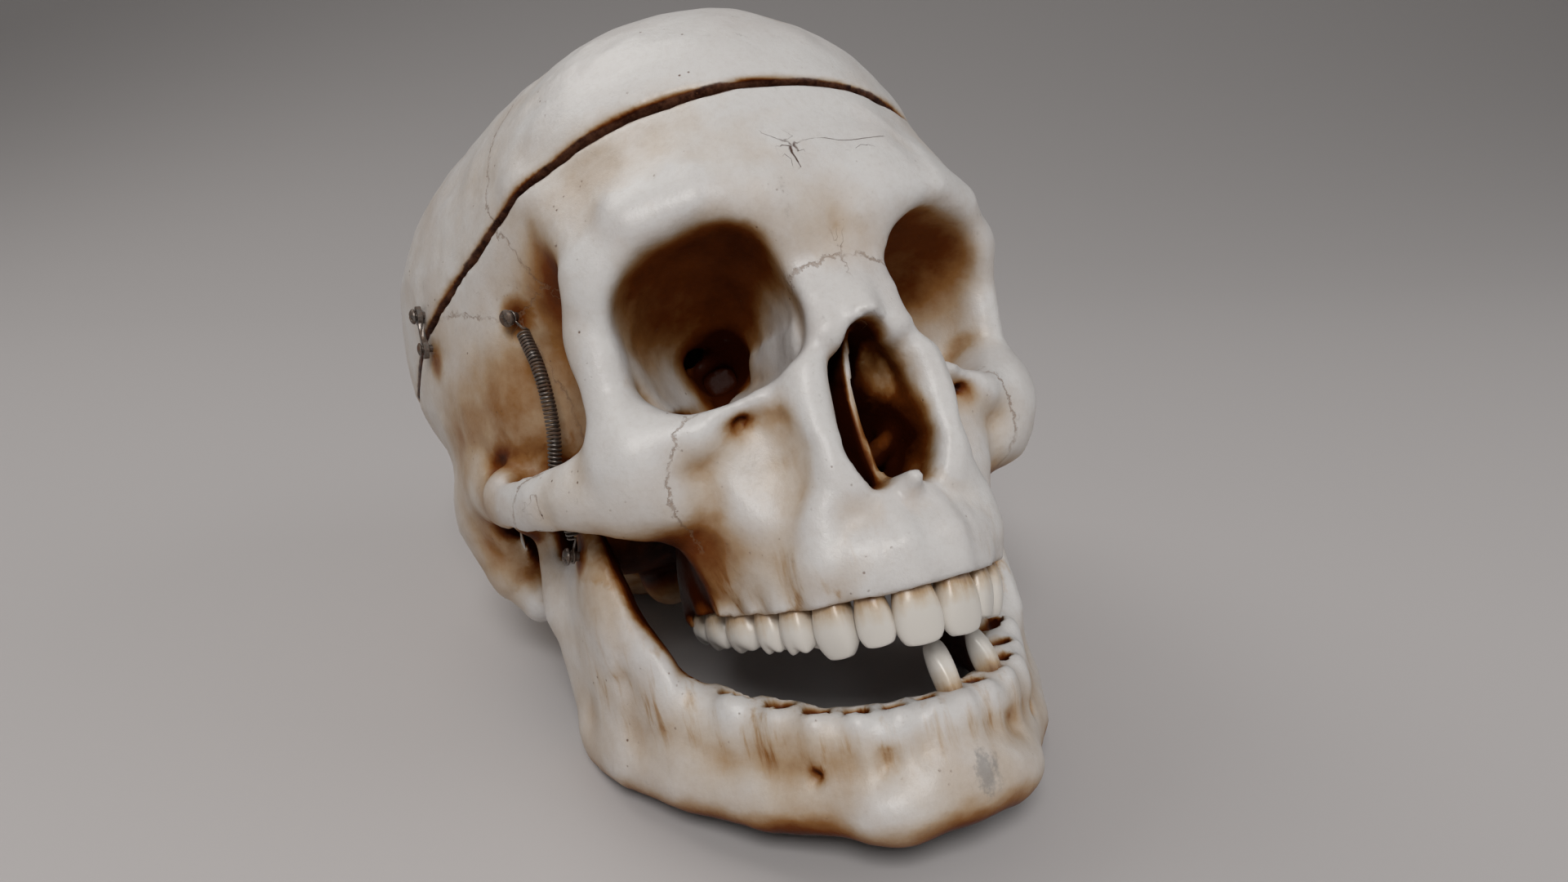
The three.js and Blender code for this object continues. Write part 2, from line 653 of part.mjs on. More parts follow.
// Joins the ends of the edges that change the surface least, until few enough triangles are left.
function simplified({ points, triangles }, wanted) {
  const faces = triangles.map((face) => [...face]);
  const around = points.map(() => new Set());
  const planes = points.map(() => new Float64Array(10));
  const stamps = new Int32Array(points.length);
  faces.forEach((face, f) => {
    const normal = faceNormal(...face.map((v) => points[v]));
    const size = Math.hypot(...normal) || 1;
    const [a, b, c] = normal.map((value) => value / size);
    const d = -dot([a, b, c], points[face[0]]);
    const terms = [a * a, a * b, a * c, a * d, b * b, b * c, b * d, c * c, c * d, d * d];
    for (const v of face) {
      around[v].add(f);
      terms.forEach((term, i) => {
        planes[v][i] += term * size;
      });
    }
  });
  const errorAt = (q, [x, y, z]) => (
    q[0] * x * x + 2 * q[1] * x * y + 2 * q[2] * x * z + 2 * q[3] * x + q[4] * y * y
    + 2 * q[5] * y * z + 2 * q[6] * y + q[7] * z * z + 2 * q[8] * z + q[9]
  );
  const bestPlace = (q, p, r) => {
    const minor = [q[4] * q[7] - q[5] * q[5], q[2] * q[5] - q[1] * q[7], q[1] * q[5] - q[2] * q[4]];
    const scale = q[0] * minor[0] + q[1] * minor[1] + q[2] * minor[2];
    const middle = p.map((value, i) => (value + r[i]) / 2);
    const choices = [p, r, middle];
    if (Math.abs(scale) > Number.EPSILON * Math.max(q[0], q[4], q[7]) ** 3 * flatFoldLimit) {
      const spot = [
        -(minor[0] * q[3] + minor[1] * q[6] + minor[2] * q[8]) / scale,
        -(minor[1] * q[3] + (q[0] * q[7] - q[2] * q[2]) * q[6] + (q[1] * q[2] - q[0] * q[5]) * q[8]) / scale,
        -(minor[2] * q[3] + (q[1] * q[2] - q[0] * q[5]) * q[6] + (q[0] * q[4] - q[1] * q[1]) * q[8]) / scale,
      ];
      const reach = Math.hypot(...p.map((value, i) => value - r[i]));
      if (Math.hypot(...spot.map((value, i) => value - middle[i])) < reach) {
        choices.push(spot);
      }
    }
    return choices.map((spot) => ({ spot, error: errorAt(q, spot) }))
      .reduce((least, choice) => (choice.error < least.error ? choice : least));
  };
  const queue = new CostQueue();
  const offer = (a, b) => {
    const sum = planes[a].map((value, i) => value + planes[b][i]);
    const { spot, error } = bestPlace(sum, points[a], points[b]);
    const reach = Math.hypot(...points[a].map((value, i) => value - points[b][i]));
    const cost = error + longEdgeCost * reach ** 4;
    queue.push({ cost, a, b, spot, stamp: [stamps[a], stamps[b]] });
  };
  const neighbours = (v) => {
    const found = new Set();
    for (const f of around[v]) {
      faces[f].forEach((other) => found.add(other));
    }
    found.delete(v);
    return found;
  };
  faces.forEach((face) => face.forEach((a, i) => {
    const b = face[(i + 1) % 3];
    if (a < b) {
      offer(a, b);
    }
  }));
  let left = faces.length;
  while (left > wanted && queue.entries.length > 0) {
    const { a, b, spot, stamp } = queue.pop();
    if (stamp[0] !== stamps[a] || stamp[1] !== stamps[b]) {
      continue;
    }
    const shared = [...around[a]].filter((f) => around[b].has(f));
    const nearB = neighbours(b);
    const common = [...neighbours(a)].filter((v) => nearB.has(v));
    if (shared.length !== 2 || common.length !== 2) {
      continue;
    }
    const turned = [a, b].some((v) => [...around[v]].some((f) => {
      if (shared.includes(f)) {
        return false;
      }
      const before = faceNormal(...faces[f].map((w) => points[w]));
      const after = faceNormal(...faces[f].map((w) => (w === v ? spot : points[w])));
      return dot(before, after) < leastTurnCosine * Math.hypot(...before) * Math.hypot(...after);
    }));
    if (turned) {
      continue;
    }
    shared.forEach((f) => {
      faces[f].forEach((v) => around[v].delete(f));
      faces[f] = null;
    });
    around[b].forEach((f) => {
      faces[f] = faces[f].map((v) => (v === b ? a : v));
      around[a].add(f);
    });
    around[b].clear();
    planes[a] = planes[a].map((value, i) => value + planes[b][i]);
    points[a] = spot;
    stamps[a] += 1;
    stamps[b] += 1;
    left -= 2;
    neighbours(a).forEach((v) => offer(a, v));
  }
  return { points, triangles: faces.filter((face) => face !== null) };
}

// Closed meshes and solids.
const weldShare = 0.001;

function solidFromTriangles({ points, triangles }) {
  const used = new Map();
  const vertices = [];
  const indices = triangles.flat().map((v) => {
    if (!used.has(v)) {
      used.set(v, used.size);
      vertices.push(...points[v]);
    }
    return used.get(v);
  });
  return new Manifold(new SolidMesh({
    numProp: 3, vertProperties: new Float32Array(vertices), triVerts: new Uint32Array(indices),
  }));
}

function solidFromGeometry(geometry) {
  const bare = geometry.clone();
  bare.deleteAttribute("normal");
  bare.deleteAttribute("uv");
  const merged = mergeVertices(bare, fitGap * weldShare);
  return new Manifold(new SolidMesh({
    numProp: 3,
    vertProperties: new Float32Array(merged.attributes.position.array),
    triVerts: new Uint32Array(merged.index.array),
  }));
}

function geometryFromSolid(solid) {
  const mesh = solid.getMesh();
  const geometry = new THREE.BufferGeometry();
  geometry.setAttribute("position", new THREE.BufferAttribute(new Float32Array(mesh.vertProperties), 3));
  geometry.setIndex(new THREE.BufferAttribute(new Uint32Array(mesh.triVerts), 1));
  geometry.computeVertexNormals();
  return geometry;
}

// A form lofted through rings of points, with a middle point closing each end.
function loft(rings) {
  const sides = rings[0].length;
  const middle = (ring) => ring.reduce((sum, p) => sum.map((s, i) => s + p[i] / sides), [0, 0, 0]);
  const points = [middle(rings[0]), ...rings.flat(), middle(rings[rings.length - 1])];
  const end = points.length - 1;
  const triangles = [];
  for (let s = 0; s < sides; s += 1) {
    const next = (s + 1) % sides;
    triangles.push([0, 1 + next, 1 + s]);
    triangles.push([end, end - sides + s, end - sides + next]);
    for (let r = 0; r < rings.length - 1; r += 1) {
      const low = 1 + r * sides;
      triangles.push([low + s, low + next, low + sides + next]);
      triangles.push([low + s, low + sides + next, low + sides + s]);
    }
  }
  return { points, triangles };
}

// Turns every triangle over if the closed surface has its faces pointing in.
function outward({ points, triangles }) {
  const volume = triangles.reduce((sum, [a, b, c]) => (
    sum + dot(points[a], faceNormal([0, 0, 0], points[b], points[c]))
  ), 0);
  return { points, triangles: volume > 0 ? triangles : triangles.map(([a, b, c]) => [a, c, b]) };
}

function solidOf(surface) {
  return solidFromTriangles(outward(surface));
}

// A wire of round section along a row of points, cut square at both ends.
function wire(path, radius, sides) {
  const along = path.map((point, i) => (
    path[Math.min(i + 1, path.length - 1)].clone().sub(path[Math.max(i - 1, 0)]).normalize()
  ));
  const normal = new THREE.Vector3(1, 0, 0).cross(along[0]).normalize();
  const rings = path.map((point, i) => {
    normal.addScaledVector(along[i], -normal.dot(along[i])).normalize();
    const across = new THREE.Vector3().crossVectors(along[i], normal);
    return Array.from({ length: sides }, (_, s) => {
      const angle = 2 * Math.PI * s / sides;
      return point.clone().addScaledVector(normal, radius * Math.cos(angle))
        .addScaledVector(across, radius * Math.sin(angle)).toArray();
    });
  });
  return loft(rings);
}

// Bones.
const headBoxShares = [[-1.1, -1.18, -0.48], [1.1, 1.1, 1.24]];
const jawBoxShares = [[-0.9, -1.1, -1], [0.9, 0.1, 0.06]];
const braincaseBlends = [0, broadBlend, wideBlend, broadBlend, broadBlend, broadBlend, wideBlend];
const orbitWallShare = 0.6;
const sweepSteps = 3;

function ramus() {
  return joined([
    ball(condyleShares, jawCondyleTurn),
    ridge(condyleNeckShares, neckStretchShares),
    ridge(ramusRearShares, flatPlateShares),
    ball(ramusPlateShares),
    ridge(coronoidShares, flatPlateShares),
  ], snugBlend);
}

function addFace(bone) {
  bone.add(ridge(browShares), wideBlend);
  bone.add(ridge(outerRimShares), softBlend);
  bone.add(ridge(outerWallShares, tallWallShares), softBlend);
  bone.add(ball(cheekShares), softBlend);
  bone.add(ridge(cheekEdgeShares), softBlend);
  bone.add(ridge(lowerRimShares), snugBlend);
  bone.add(ball(ethmoidShares), snugBlend);
  bone.add(ridge(frontalProcessShares), snugBlend);
  bone.add(ridge(nasalBoneShares), snugBlend);
  bone.add(ridge(nasalRidgeShares), snugBlend);
  bone.add(ball(maxillaShares), softBlend);
  bone.add(ridge(noseBorderShares), snugBlend);
  bone.add(gumRidge(), softBlend);
  bone.add(ball(palateFloorShares), softBlend);
  bone.add(ball(tuberosityShares), softBlend);
  bone.add(ridge(cheekCrestShares), softBlend);
  bone.add(ridge(canineRidgeShares), softBlend);
  bone.cut(ball(canineHollowShares), softBlend);
}

function addBase(bone) {
  bone.add(ridge(earCrestShares), wideBlend);
  bone.add(ball(temporalBaseShares), wideBlend);
  bone.add(ridge(clivusShares, wideBaseShares), wideBlend);
  bone.add(ball(sphenoidShares), wideBlend);
  bone.add(ball(greatWingShares), wideBlend);
  bone.add(ridge(mastoidShares, mastoidStretchShares), softBlend);
  bone.add(ball(earPlateShares), snugBlend);
  bone.add(ridge(eminenceShares), softBlend);
  bone.add(ball(inionShares), wideBlend);
  bone.add(ridge(nuchalShares), wideBlend);
  bone.add(ridge(outerPterygoidShares, outerPlateShares), snugBlend);
  bone.add(ridge(innerPterygoidShares, innerPlateShares), crispBlend);
  bone.add(ball(skullCondyleShares, skullCondyleTurn), snugBlend);
  bone.cut(ridge(earCanalShares), crispBlend);
  bone.cut(ridge(mastoidGrooveShares), snugBlend);
  bone.add(ridge(cheekArchShares, archStretchShares), snugBlend);
}

function openFace(bone) {
  bone.cut(orbit(), crispBlend);
  bone.cut(ball(palateShares), snugBlend);
  bone.cut(nose(), crispBlend);
  bone.cut(ridge(lowerFissureShares), crispBlend);
  bone.cut(ridge(upperFissureShares), crispBlend);
}

// The brain's space, one bone wall inside the braincase, kept clear of the orbits, nose and base.
function brainSpace(shell) {
  const space = shell.copy();
  space.values = space.values.map((value) => value + boneWall);
  space.cut(orbit(boneWall * orbitWallShare), snugBlend);
  space.cut(ball(noseRoofShares), snugBlend);
  space.cut(ball(orbitRoofShares), snugBlend);
  space.cut(ball(sellaShares), softBlend);
  space.cut(ridge(petrousShares), softBlend);
  space.cut(ridge(clivusShares, wideBaseShares), softBlend);
  return space;
}

function addNoseWalls(bone) {
  const [front, back, low, high] = septumSpanShares;
  bone.add(plate(
    [-septumWall / 2, front * half[1], low * half[2]],
    [septumWall / 2, back * half[1], high * half[2]],
  ), crispBlend);
  bone.add(ridge(noseSpineShares), snugBlend);
  bone.add(ridge(lowerConchaShares, conchaStretchShares), crispBlend);
}

function headField() {
  const bone = new Field(...headBoxShares.map(place));
  braincaseShares.forEach((shares, i) => bone.add(ball(shares), braincaseBlends[i]));
  bone.cut(ball(templeShares), wideBlend);
  bone.cut(ridge(templeFloorShares), wideBlend);
  const space = brainSpace(bone);
  addFace(bone);
  addBase(bone);
  openFace(bone);
  bone.values = bone.values.map((value, i) => Math.max(value, -space.values[i]));
  bone.cut(foramen(-half[2], 0), crispBlend);
  addNoseWalls(bone);
  bone.cut(belowGum());
  for (let step = 0; step <= sweepSteps; step += 1) {
    bone.cut(swung(ramus(), jawOpening * step / sweepSteps));
  }
  return bone;
}

function jawField() {
  const bone = new Field(...jawBoxShares.map(place));
  bone.add(ramus());
  bone.add(ridge(jawBaseShares), softBlend);
  bone.add(ridge(jawBodyShares, jawBodyStretchShares), softBlend);
  bone.add(ridge(jawRidgeShares), snugBlend);
  bone.add(ball(chinShares), softBlend);
  bone.add(ball(chinCornerShares), softBlend);
  return bone;
}

// Teeth. Rows run from the root's tip to the biting edge: height as a share of the root above the
// neck or of the crown below it, then width and depth as shares of the tooth's own.
const incisorShares = [[1, 0.35, 0.4], [0, 0.78, 0.8], [-0.35, 0.98, 1], [-0.85, 1, 0.5], [-1, 0.94, 0.24]];
const canineShares = [[1, 0.35, 0.4], [0, 0.78, 0.84], [-0.35, 0.98, 1], [-0.75, 0.86, 0.66], [-1, 0.3, 0.25]];
const molarShares = [[1, 0.5, 0.5], [0, 0.82, 0.86], [-0.4, 1, 1], [-0.82, 0.96, 0.92], [-1, 0.72, 0.62]];
const toothKinds = [
  ["central_incisor", incisorShares], ["lateral_incisor", incisorShares], ["canine", canineShares],
  ["first_premolar", molarShares], ["second_premolar", molarShares], ["first_molar", molarShares],
  ["second_molar", molarShares], ["third_molar", molarShares],
];
const toothSides = 8;
const lingualTaperShare = 0.16;
const archReachShare = 1.3;
const archSteps = 2000;

// Eight-sided form of a tooth with its neck at the origin, its root up, its width along x and its
// narrower, inner side towards y.
function tooth(shares, width, depth, root, crown, grow = 0) {
  const corner = 1 / Math.cos(Math.PI / toothSides);
  return loft(shares.map(([height, widthShare, depthShare]) => (
    Array.from({ length: toothSides }, (_, s) => {
      const angle = 2 * Math.PI * (s + 0.5) / toothSides;
      const taper = 1 - lingualTaperShare * Math.max(Math.sin(angle), 0);
      return [
        (width * widthShare * taper / 2 + grow) * corner * Math.cos(angle),
        (depth * depthShare / 2 + grow) * corner * Math.sin(angle),
        height > 0 ? height * root + grow : height * crown,
      ];
    })
  )));
}

// Places along a curve at given distances from its start, with the curve's direction there.
function walk(curvePoint, distances) {
  const path = Array.from({ length: archSteps + 1 }, (_, i) => curvePoint(i / archSteps));
  const lengths = [0];
  for (let i = 1; i <= archSteps; i += 1) {
    lengths.push(lengths[i - 1] + Math.hypot(...path[i].map((value, a) => value - path[i - 1][a])));
  }
  return distances.map((distance) => {
    const found = lengths.findIndex((length) => length >= distance);
    const i = clamp(found < 0 ? archSteps : found, 1, archSteps);
    const angle = Math.atan2(path[i][1] - path[i - 1][1], path[i][0] - path[i - 1][0]);
    return { spot: path[i], angle };
  });
}

// Middle of each tooth along an arch where neighbours keep the tooth gap.
function toothDistances(widths) {
  let edge = toothGap / 2;
  return widths.map((width) => {
    const middle = edge + width / 2;
    edge += width + toothGap;
    return middle;
  });
}

function upperTeeth() {
  const places = walk((share) => archPoint(share * archReachShare), toothDistances(toothWidths));
  return toothKinds.flatMap(([kind, shares], i) => [-1, 1].map((side) => {
    const [x, y] = places[i].spot;
    const matrix = new THREE.Matrix4().makeRotationZ(side * places[i].angle);
    matrix.setPosition(side * x, y, gumHeight(y));
    const size = [toothWidths[i], toothDepths[i], rootLength, crownHeights[i]];
    return { name: `upper_${side < 0 ? "right" : "left"}_${kind}`, shares, size, matrix };
  }));
}

// The lower ridge's crest, from the middle to the back, as a smooth curve with its height.
function jawCrest(share) {
  const rows = [...jawRidgeShares].reverse();
  const crest = new THREE.CatmullRomCurve3(rows.map((row) => {
    const [x, y, z] = place(row);
    return new THREE.Vector3(x, y, z + row[3] * half[0]);
  }));
  return crest.getPoint(share).toArray();
}

const lowerWidthShares = [0.62, 0.68, 0.78, 0.8, 0.82, 1.22, 1.18, 1.1];
const lowerDepthShares = [0.7, 0.72, 0.86, 0.84, 0.88, 1.02, 1, 0.96];
const presentLowerTeeth = [
  { name: "lower_left_central_incisor", at: 0, shares: incisorShares },
  { name: "lower_left_canine", at: 2, shares: canineShares },
];
const lowerToothLean = 12;
const lowerSpacingShare = 1.62;
const lowerSocketShare = 0.68;

// Sockets of the lower arch: where each sits, and how wide and deep it is.
function lowerSockets() {
  const widths = lowerWidthShares.map((share) => share * lowerToothWidth * lowerSpacingShare);
  return walk(jawCrest, toothDistances(widths)).map(({ spot, angle }, i) => ({
    spot, angle, width: widths[i] * lowerSocketShare, depth: lowerDepthShares[i] * lowerToothDepth,
  }));
}

function lowerTeeth() {
  const sockets = lowerSockets();
  const bite = gumHeight(gumFrontShare * half[1]) - crownHeights[0] - biteGap;
  return presentLowerTeeth.map(({ name, at, shares }) => {
    const { spot, angle } = sockets[at];
    const matrix = new THREE.Matrix4().makeRotationZ(angle);
    matrix.multiply(new THREE.Matrix4().makeRotationX(Math.PI - radians(lowerToothLean)));
    matrix.setPosition(...spot);
    const crown = (bite - spot[2]) / Math.cos(radians(lowerToothLean));
    return { name, shares, size: [lowerToothWidth, lowerToothDepth, lowerRootLength, crown], matrix };
  });
}

function toothSolid({ shares, size, matrix }, grow) {
  return solidOf(tooth(shares, ...size, grow)).transform(matrix.elements);
}

// A blind, tapered socket that lost its tooth.
const socketBottomShare = 0.55;
const socketSides = 6;

function emptySocket({ spot, angle, width, depth }) {
  const rings = [[-emptySocketDepth, socketBottomShare], [0, 1], [cutOverrun, 1]];
  const form = loft(rings.map(([height, share]) => (
    Array.from({ length: socketSides }, (_, s) => {
      const turn = 2 * Math.PI * s / socketSides;
      return [width * share / 2 * Math.cos(turn), depth * share / 2 * Math.sin(turn), height];
    })
  )));
  const matrix = new THREE.Matrix4().makeRotationZ(angle).setPosition(...spot);
  return solidOf(form).transform(matrix.elements);
}

// Screws, hooks and pins.
const lathedSides = 12;
const headDomeShare = 0.62;
const slotAngle = 0.75;
const hookSides = 16;
const seatSteps = 400;
const seatStepShare = 0.33;
const curlSteps = 8;
const wireSides = 5;

// A form lathed about z from rows of radius and height.
function lathed(rows) {
  const profile = rows.map(([radius, height]) => new THREE.Vector2(radius, height));
  return new THREE.LatheGeometry(profile, lathedSides).rotateX(Math.PI / 2);
}

// A screw or pin whose shank enters the bone at z = 0 and whose head is outward of its neck.
function screw({ radius, depth, neck, headRadius, headHeight }) {
  return lathed([
    [0, -depth], [radius, -depth], [radius, neck], [headRadius, neck],
    [headRadius, neck + headHeight / 2], [headRadius * headDomeShare, neck + headHeight],
    [0, neck + headHeight],
  ]);
}

function shankHole({ radius, depth }) {
  const room = radius + fitGap;
  return lathed([[0, -depth - fitGap], [room, -depth - fitGap], [room, cutOverrun], [0, cutOverrun]]);
}

// Where a line from outside first meets the bone, and the bone's outward normal there.
function seat(field, start, direction) {
  const point = new THREE.Vector3(...start);
  const step = new THREE.Vector3(...direction).normalize();
  const depth = (p) => field.at(p.x, p.y, p.z);
  for (let i = 0; i < seatSteps && depth(point) > 0; i += 1) {
    point.addScaledVector(step, Math.max(depth(point), fitGap) * seatStepShare);
  }
  const slope = [0, 1, 2].map((axis) => {
    const ahead = point.clone().setComponent(axis, point.getComponent(axis) + gridStep);
    const behind = point.clone().setComponent(axis, point.getComponent(axis) - gridStep);
    return depth(ahead) - depth(behind);
  });
  return { point, normal: new THREE.Vector3(...slope).normalize() };
}

// The frame of a piece that stands on a point, with z along the given normal.
function standing(point, normal) {
  const turn = new THREE.Quaternion().setFromUnitVectors(new THREE.Vector3(0, 0, 1), normal);
  return new THREE.Matrix4().compose(point, turn, new THREE.Vector3(1, 1, 1));
}

function onSide(side, vector) {
  return new THREE.Vector3(side * vector.x, vector.y, vector.z);
}

// Flat hook in the y-z plane: an eye on the pivot, a bar down to the pin and a foot round the pin.
// Its slot follows the pin's path as the hook swings to the front.
function hookSolid() {
  const slot = pinRadius + fitGap;
  const disc = (radius, thickness, z) => solidFromGeometry(
    new THREE.CylinderGeometry(radius, radius, thickness, hookSides).rotateZ(Math.PI / 2)
      .translate(0, 0, z),
  );
  const through = hookThickness + 2 * cutOverrun;
  const band = new THREE.Shape();
  band.absarc(0, 0, hookReach + slot, 0, slotAngle, false);
  band.absarc(0, 0, hookReach - slot, slotAngle, 0, true);
  const downToBand = new THREE.Matrix4().makeBasis(
    new THREE.Vector3(0, 0, -1), new THREE.Vector3(0, 1, 0), new THREE.Vector3(1, 0, 0),
  );
  const bandPrism = new THREE.ExtrudeGeometry(band, {
    depth: through, bevelEnabled: false, curveSegments: wireSides,
  }).translate(0, 0, -through / 2).applyMatrix4(downToBand);
  const shank = new THREE.BoxGeometry(hookThickness, hookBarWidth, hookReach)
    .translate(0, 0, -hookReach / 2);
  return disc(hookEyeRadius, hookThickness, 0)
    .add(solidFromGeometry(shank))
    .add(disc(slot + hookTip, hookThickness, -hookReach))
    .subtract(disc(screwRadius + fitGap, through, 0))
    .subtract(disc(slot, through, -hookReach))
    .subtract(solidFromGeometry(bandPrism));
}

// Heights, seats and standoffs of one cap hook, for the skull's left side.
function hookPlaces(field) {
  const outside = half[0] * headBoxShares[1][0];
  const y = pivotPlaceShare * half[1];
  const pivotZ = seamHeight + seamSlopeShare * y + pivotAboveSeam;
  const inward = [-1, 0, 0];
  const pivot = seat(field, [outside, y, pivotZ], inward).point;
  const pin = seat(field, [outside, y, pivotZ - hookReach], inward).point;
  const inner = Math.max(pivot.x, pin.x) + hookStandoff;
  const outer = inner + hookThickness + fitGap;
  const across = new THREE.Vector3(1, 0, 0);
  return {
    hook: new THREE.Vector3(inner + hookThickness / 2, y, pivotZ),
    pivot: {
      point: pivot,
      normal: across,
      form: {
        radius: screwRadius, depth: screwDepth, neck: outer - pivot.x,
        headRadius: screwHeadRadius, headHeight: screwHeadHeight,
      },
    },
    pin: {
      point: pin,
      normal: across,
      form: {
        radius: pinRadius, depth: screwDepth, neck: outer - pin.x,
        headRadius: pinHeadRadius, headHeight: pinHeadHeight,
      },
    },
  };
}

// Seats of the two screws that hold one jaw spring, for the skull's left side.
function springScrewPlaces(headBone, jawBone) {
  const head = seat(headBone, place(templeScrewShares), [-1, 0, 0]);
  const jaw = seat(jawBone, place(coronoidScrewShares), [-1, 0, 0]);
  const form = {
    radius: screwRadius, neck: springScrewNeck, headRadius: screwHeadRadius, headHeight: screwHeadHeight,
  };
  return [
    { ...head, form: { ...form, depth: screwDepth } },
    { ...jaw, form: { ...form, depth: jawScrewDepth } },
  ];
}

// Locating dowels stand in the seam's bone wall, at the front and at the back.
function dowelPlaces(field) {
  const normal = new THREE.Vector3(0, -seamSlopeShare, 1).normalize();
  return [["front_dowel", -1], ["rear_dowel", 1]].map(([name, side]) => {
    const y = side * half[1] * headBoxShares[1][1];
    const inward = new THREE.Vector3(0, -side, -side * seamSlopeShare).normalize();
    const { point } = seat(field, [0, y, seamHeight + seamSlopeShare * y], inward.toArray());
    return { name, point: point.addScaledVector(inward, boneWall / 2), normal };
  });
}

function dowel(grow = 0) {
  return new THREE.CylinderGeometry(
    dowelRadius + grow, dowelRadius + grow, dowelLength + 2 * grow, lathedSides,
  ).rotateX(Math.PI / 2);
}

// The wire's path from the temple screw's neck to the jaw screw's neck, on the left side.
function springPath([head, jaw]) {
  const neckMiddle = ({ point, normal, form }) => point.clone().addScaledVector(normal, form.neck / 2);
  const [top, bottom] = [neckMiddle(head), neckMiddle(jaw)];
  const between = springPathShares.map((shares) => new THREE.Vector3(...place(shares)));
  const leave = between[0].clone().sub(top).projectOnPlane(head.normal).normalize();
  const arrive = between[between.length - 1].clone().sub(bottom).projectOnPlane(jaw.normal).normalize();
  const clear = screwRadius + fitGap;
  const start = top.clone().addScaledVector(leave, clear + springLead);
  const finish = bottom.clone().addScaledVector(arrive, clear + springLead);
  const line = new THREE.CatmullRomCurve3([start, ...between, finish]);
  const steps = springTurns * curlSteps;
  const { normals, binormals } = line.computeFrenetFrames(steps, false);
  const coil = Array.from({ length: steps + 1 }, (_, i) => {
    const angle = 2 * Math.PI * i / curlSteps;
    const open = clamp(Math.min(i, steps - i) / curlSteps, 0, 1) * coilRadius;
    return line.getPointAt(i / steps).addScaledVector(normals[i], open * Math.cos(angle))
      .addScaledVector(binormals[i], open * Math.sin(angle));
  });
  return [
    top.clone().addScaledVector(leave, clear),
    top.clone().addScaledVector(leave, clear + 2 * wireRadius),
    ...coil,
    bottom.clone().addScaledVector(arrive, clear + 2 * wireRadius),
    bottom.clone().addScaledVector(arrive, clear),
  ];
}

// Least gap between one stretch of the wire and another, at least three quarters of a turn away.
function leastSelfGap(path) {
  let least = Infinity;
  for (let i = 0; i < path.length; i += 1) {
    for (let j = i + curlSteps * 3 / 4; j < path.length; j += 1) {
      least = Math.min(least, path[i].distanceTo(path[j]));
    }
  }
  return least - 2 * wireRadius;
}

const mostLean = 60;
const leanSteps = 40;
const blockShare = 3;

// The angle by which the skull leans back when the jaw's base and the back of the head both rest
// on one plane, and the height of that plane under the leaning skull.
function restingLean(headSurface, jawSurface) {
  const lowest = ({ points, triangles }, lean) => triangles.flat().reduce((low, v) => (
    Math.min(low, points[v][2] * Math.cos(lean) - points[v][1] * Math.sin(lean))
  ), Infinity);
  let [less, more] = [0, radians(mostLean)];
  for (let i = 0; i < leanSteps; i += 1) {
    const middle = (less + more) / 2;
    if (lowest(headSurface, middle) > lowest(jawSurface, middle)) {
      less = middle;
    } else {
      more = middle;
    }
  }
  return { lean: less, ground: lowest(jawSurface, less) };
}

// A block that reaches from z = 0 downwards, far past the head on all sides.
function lowerBlock() {
  const side = blockShare * headHeight;
  return new THREE.BoxGeometry(side, side, side).translate(0, 0, -side / 2);
}

function seamBlock(side) {
  const normal = new THREE.Vector3(0, -seamSlopeShare, 1).normalize().multiplyScalar(side);
  const onSeam = new THREE.Vector3(0, 0, seamHeight).addScaledVector(normal, seamGap / 2);
  return solidFromGeometry(lowerBlock().applyMatrix4(standing(onSeam, normal)));
}

// The finished bones: both surfaces cut by their neighbours' holes and by the ground's flats.
const headBone = headField();
const jawBone = jawField();
const headSurface = simplified(outward(surfaceOf(headBone)), headTriangles);
const jawSurface = simplified(outward(surfaceOf(jawBone)), jawTriangles);
const { lean, ground } = restingLean(headSurface, jawSurface);
const groundBlock = solidFromGeometry(
  lowerBlock().translate(0, 0, ground + restFlat).rotateX(lean),
);
const hookSeats = hookPlaces(headBone);
const springScrews = springScrewPlaces(headBone, jawBone);
const dowels = dowelPlaces(headBone);
const teethAbove = upperTeeth();
const teethBelow = lowerTeeth();

function without(solid, tools) {
  return tools.reduce((left, tool) => left.subtract(tool), solid);
}

function holesFor({ point, normal, form }) {
  return [-1, 1].map((side) => solidFromGeometry(
    shankHole(form).applyMatrix4(standing(onSide(side, point), onSide(side, normal))),
  ));
}

const dowelHoles = dowels.map(({ point, normal }) => (
  solidFromGeometry(dowel(fitGap).applyMatrix4(standing(point, normal)))
));
const wholeHead = solidFromTriangles(headSurface);
const craniumSolid = without(wholeHead, [
  seamBlock(-1), groundBlock, ...dowelHoles, ...holesFor(hookSeats.pin), ...holesFor(springScrews[0]),
  ...teethAbove.map((one) => toothSolid(one, fitGap)),
]);
const capSolid = without(wholeHead, [seamBlock(1), ...dowelHoles, ...holesFor(hookSeats.pivot)]);
const filledSockets = presentLowerTeeth.map(({ at }) => at);
const emptySockets = lowerSockets().flatMap((socket, i) => [-1, 1].filter((side) => (
  side < 0 || !filledSockets.includes(i)
)).map((side) => emptySocket({
  ...socket, spot: [side * socket.spot[0], socket.spot[1], socket.spot[2]], angle: side * socket.angle,
})));
const jawSolid = without(solidFromTriangles(jawSurface), [
  groundBlock, ...holesFor(springScrews[1]), ...emptySockets,
  ...teethBelow.map((one) => toothSolid(one, fitGap)),
]);

// Materials and the scene graph.
const boneLook = { color: 0xe2d3bd, roughness: 0.6, metalness: 0 };
const toothLook = { color: 0xeee6d6, roughness: 0.3, metalness: 0 };
const steelLook = { color: 0x5a5550, roughness: 0.4, metalness: 0.9 };

function piece(name, geometry, look, matrix = new THREE.Matrix4()) {
  const mesh = new THREE.Mesh(geometry, new THREE.MeshStandardMaterial(look));
  mesh.name = name;
  mesh.applyMatrix4(matrix);
  return mesh;
}

function closed(surface) {
  return geometryFromSolid(solidOf(surface));
}

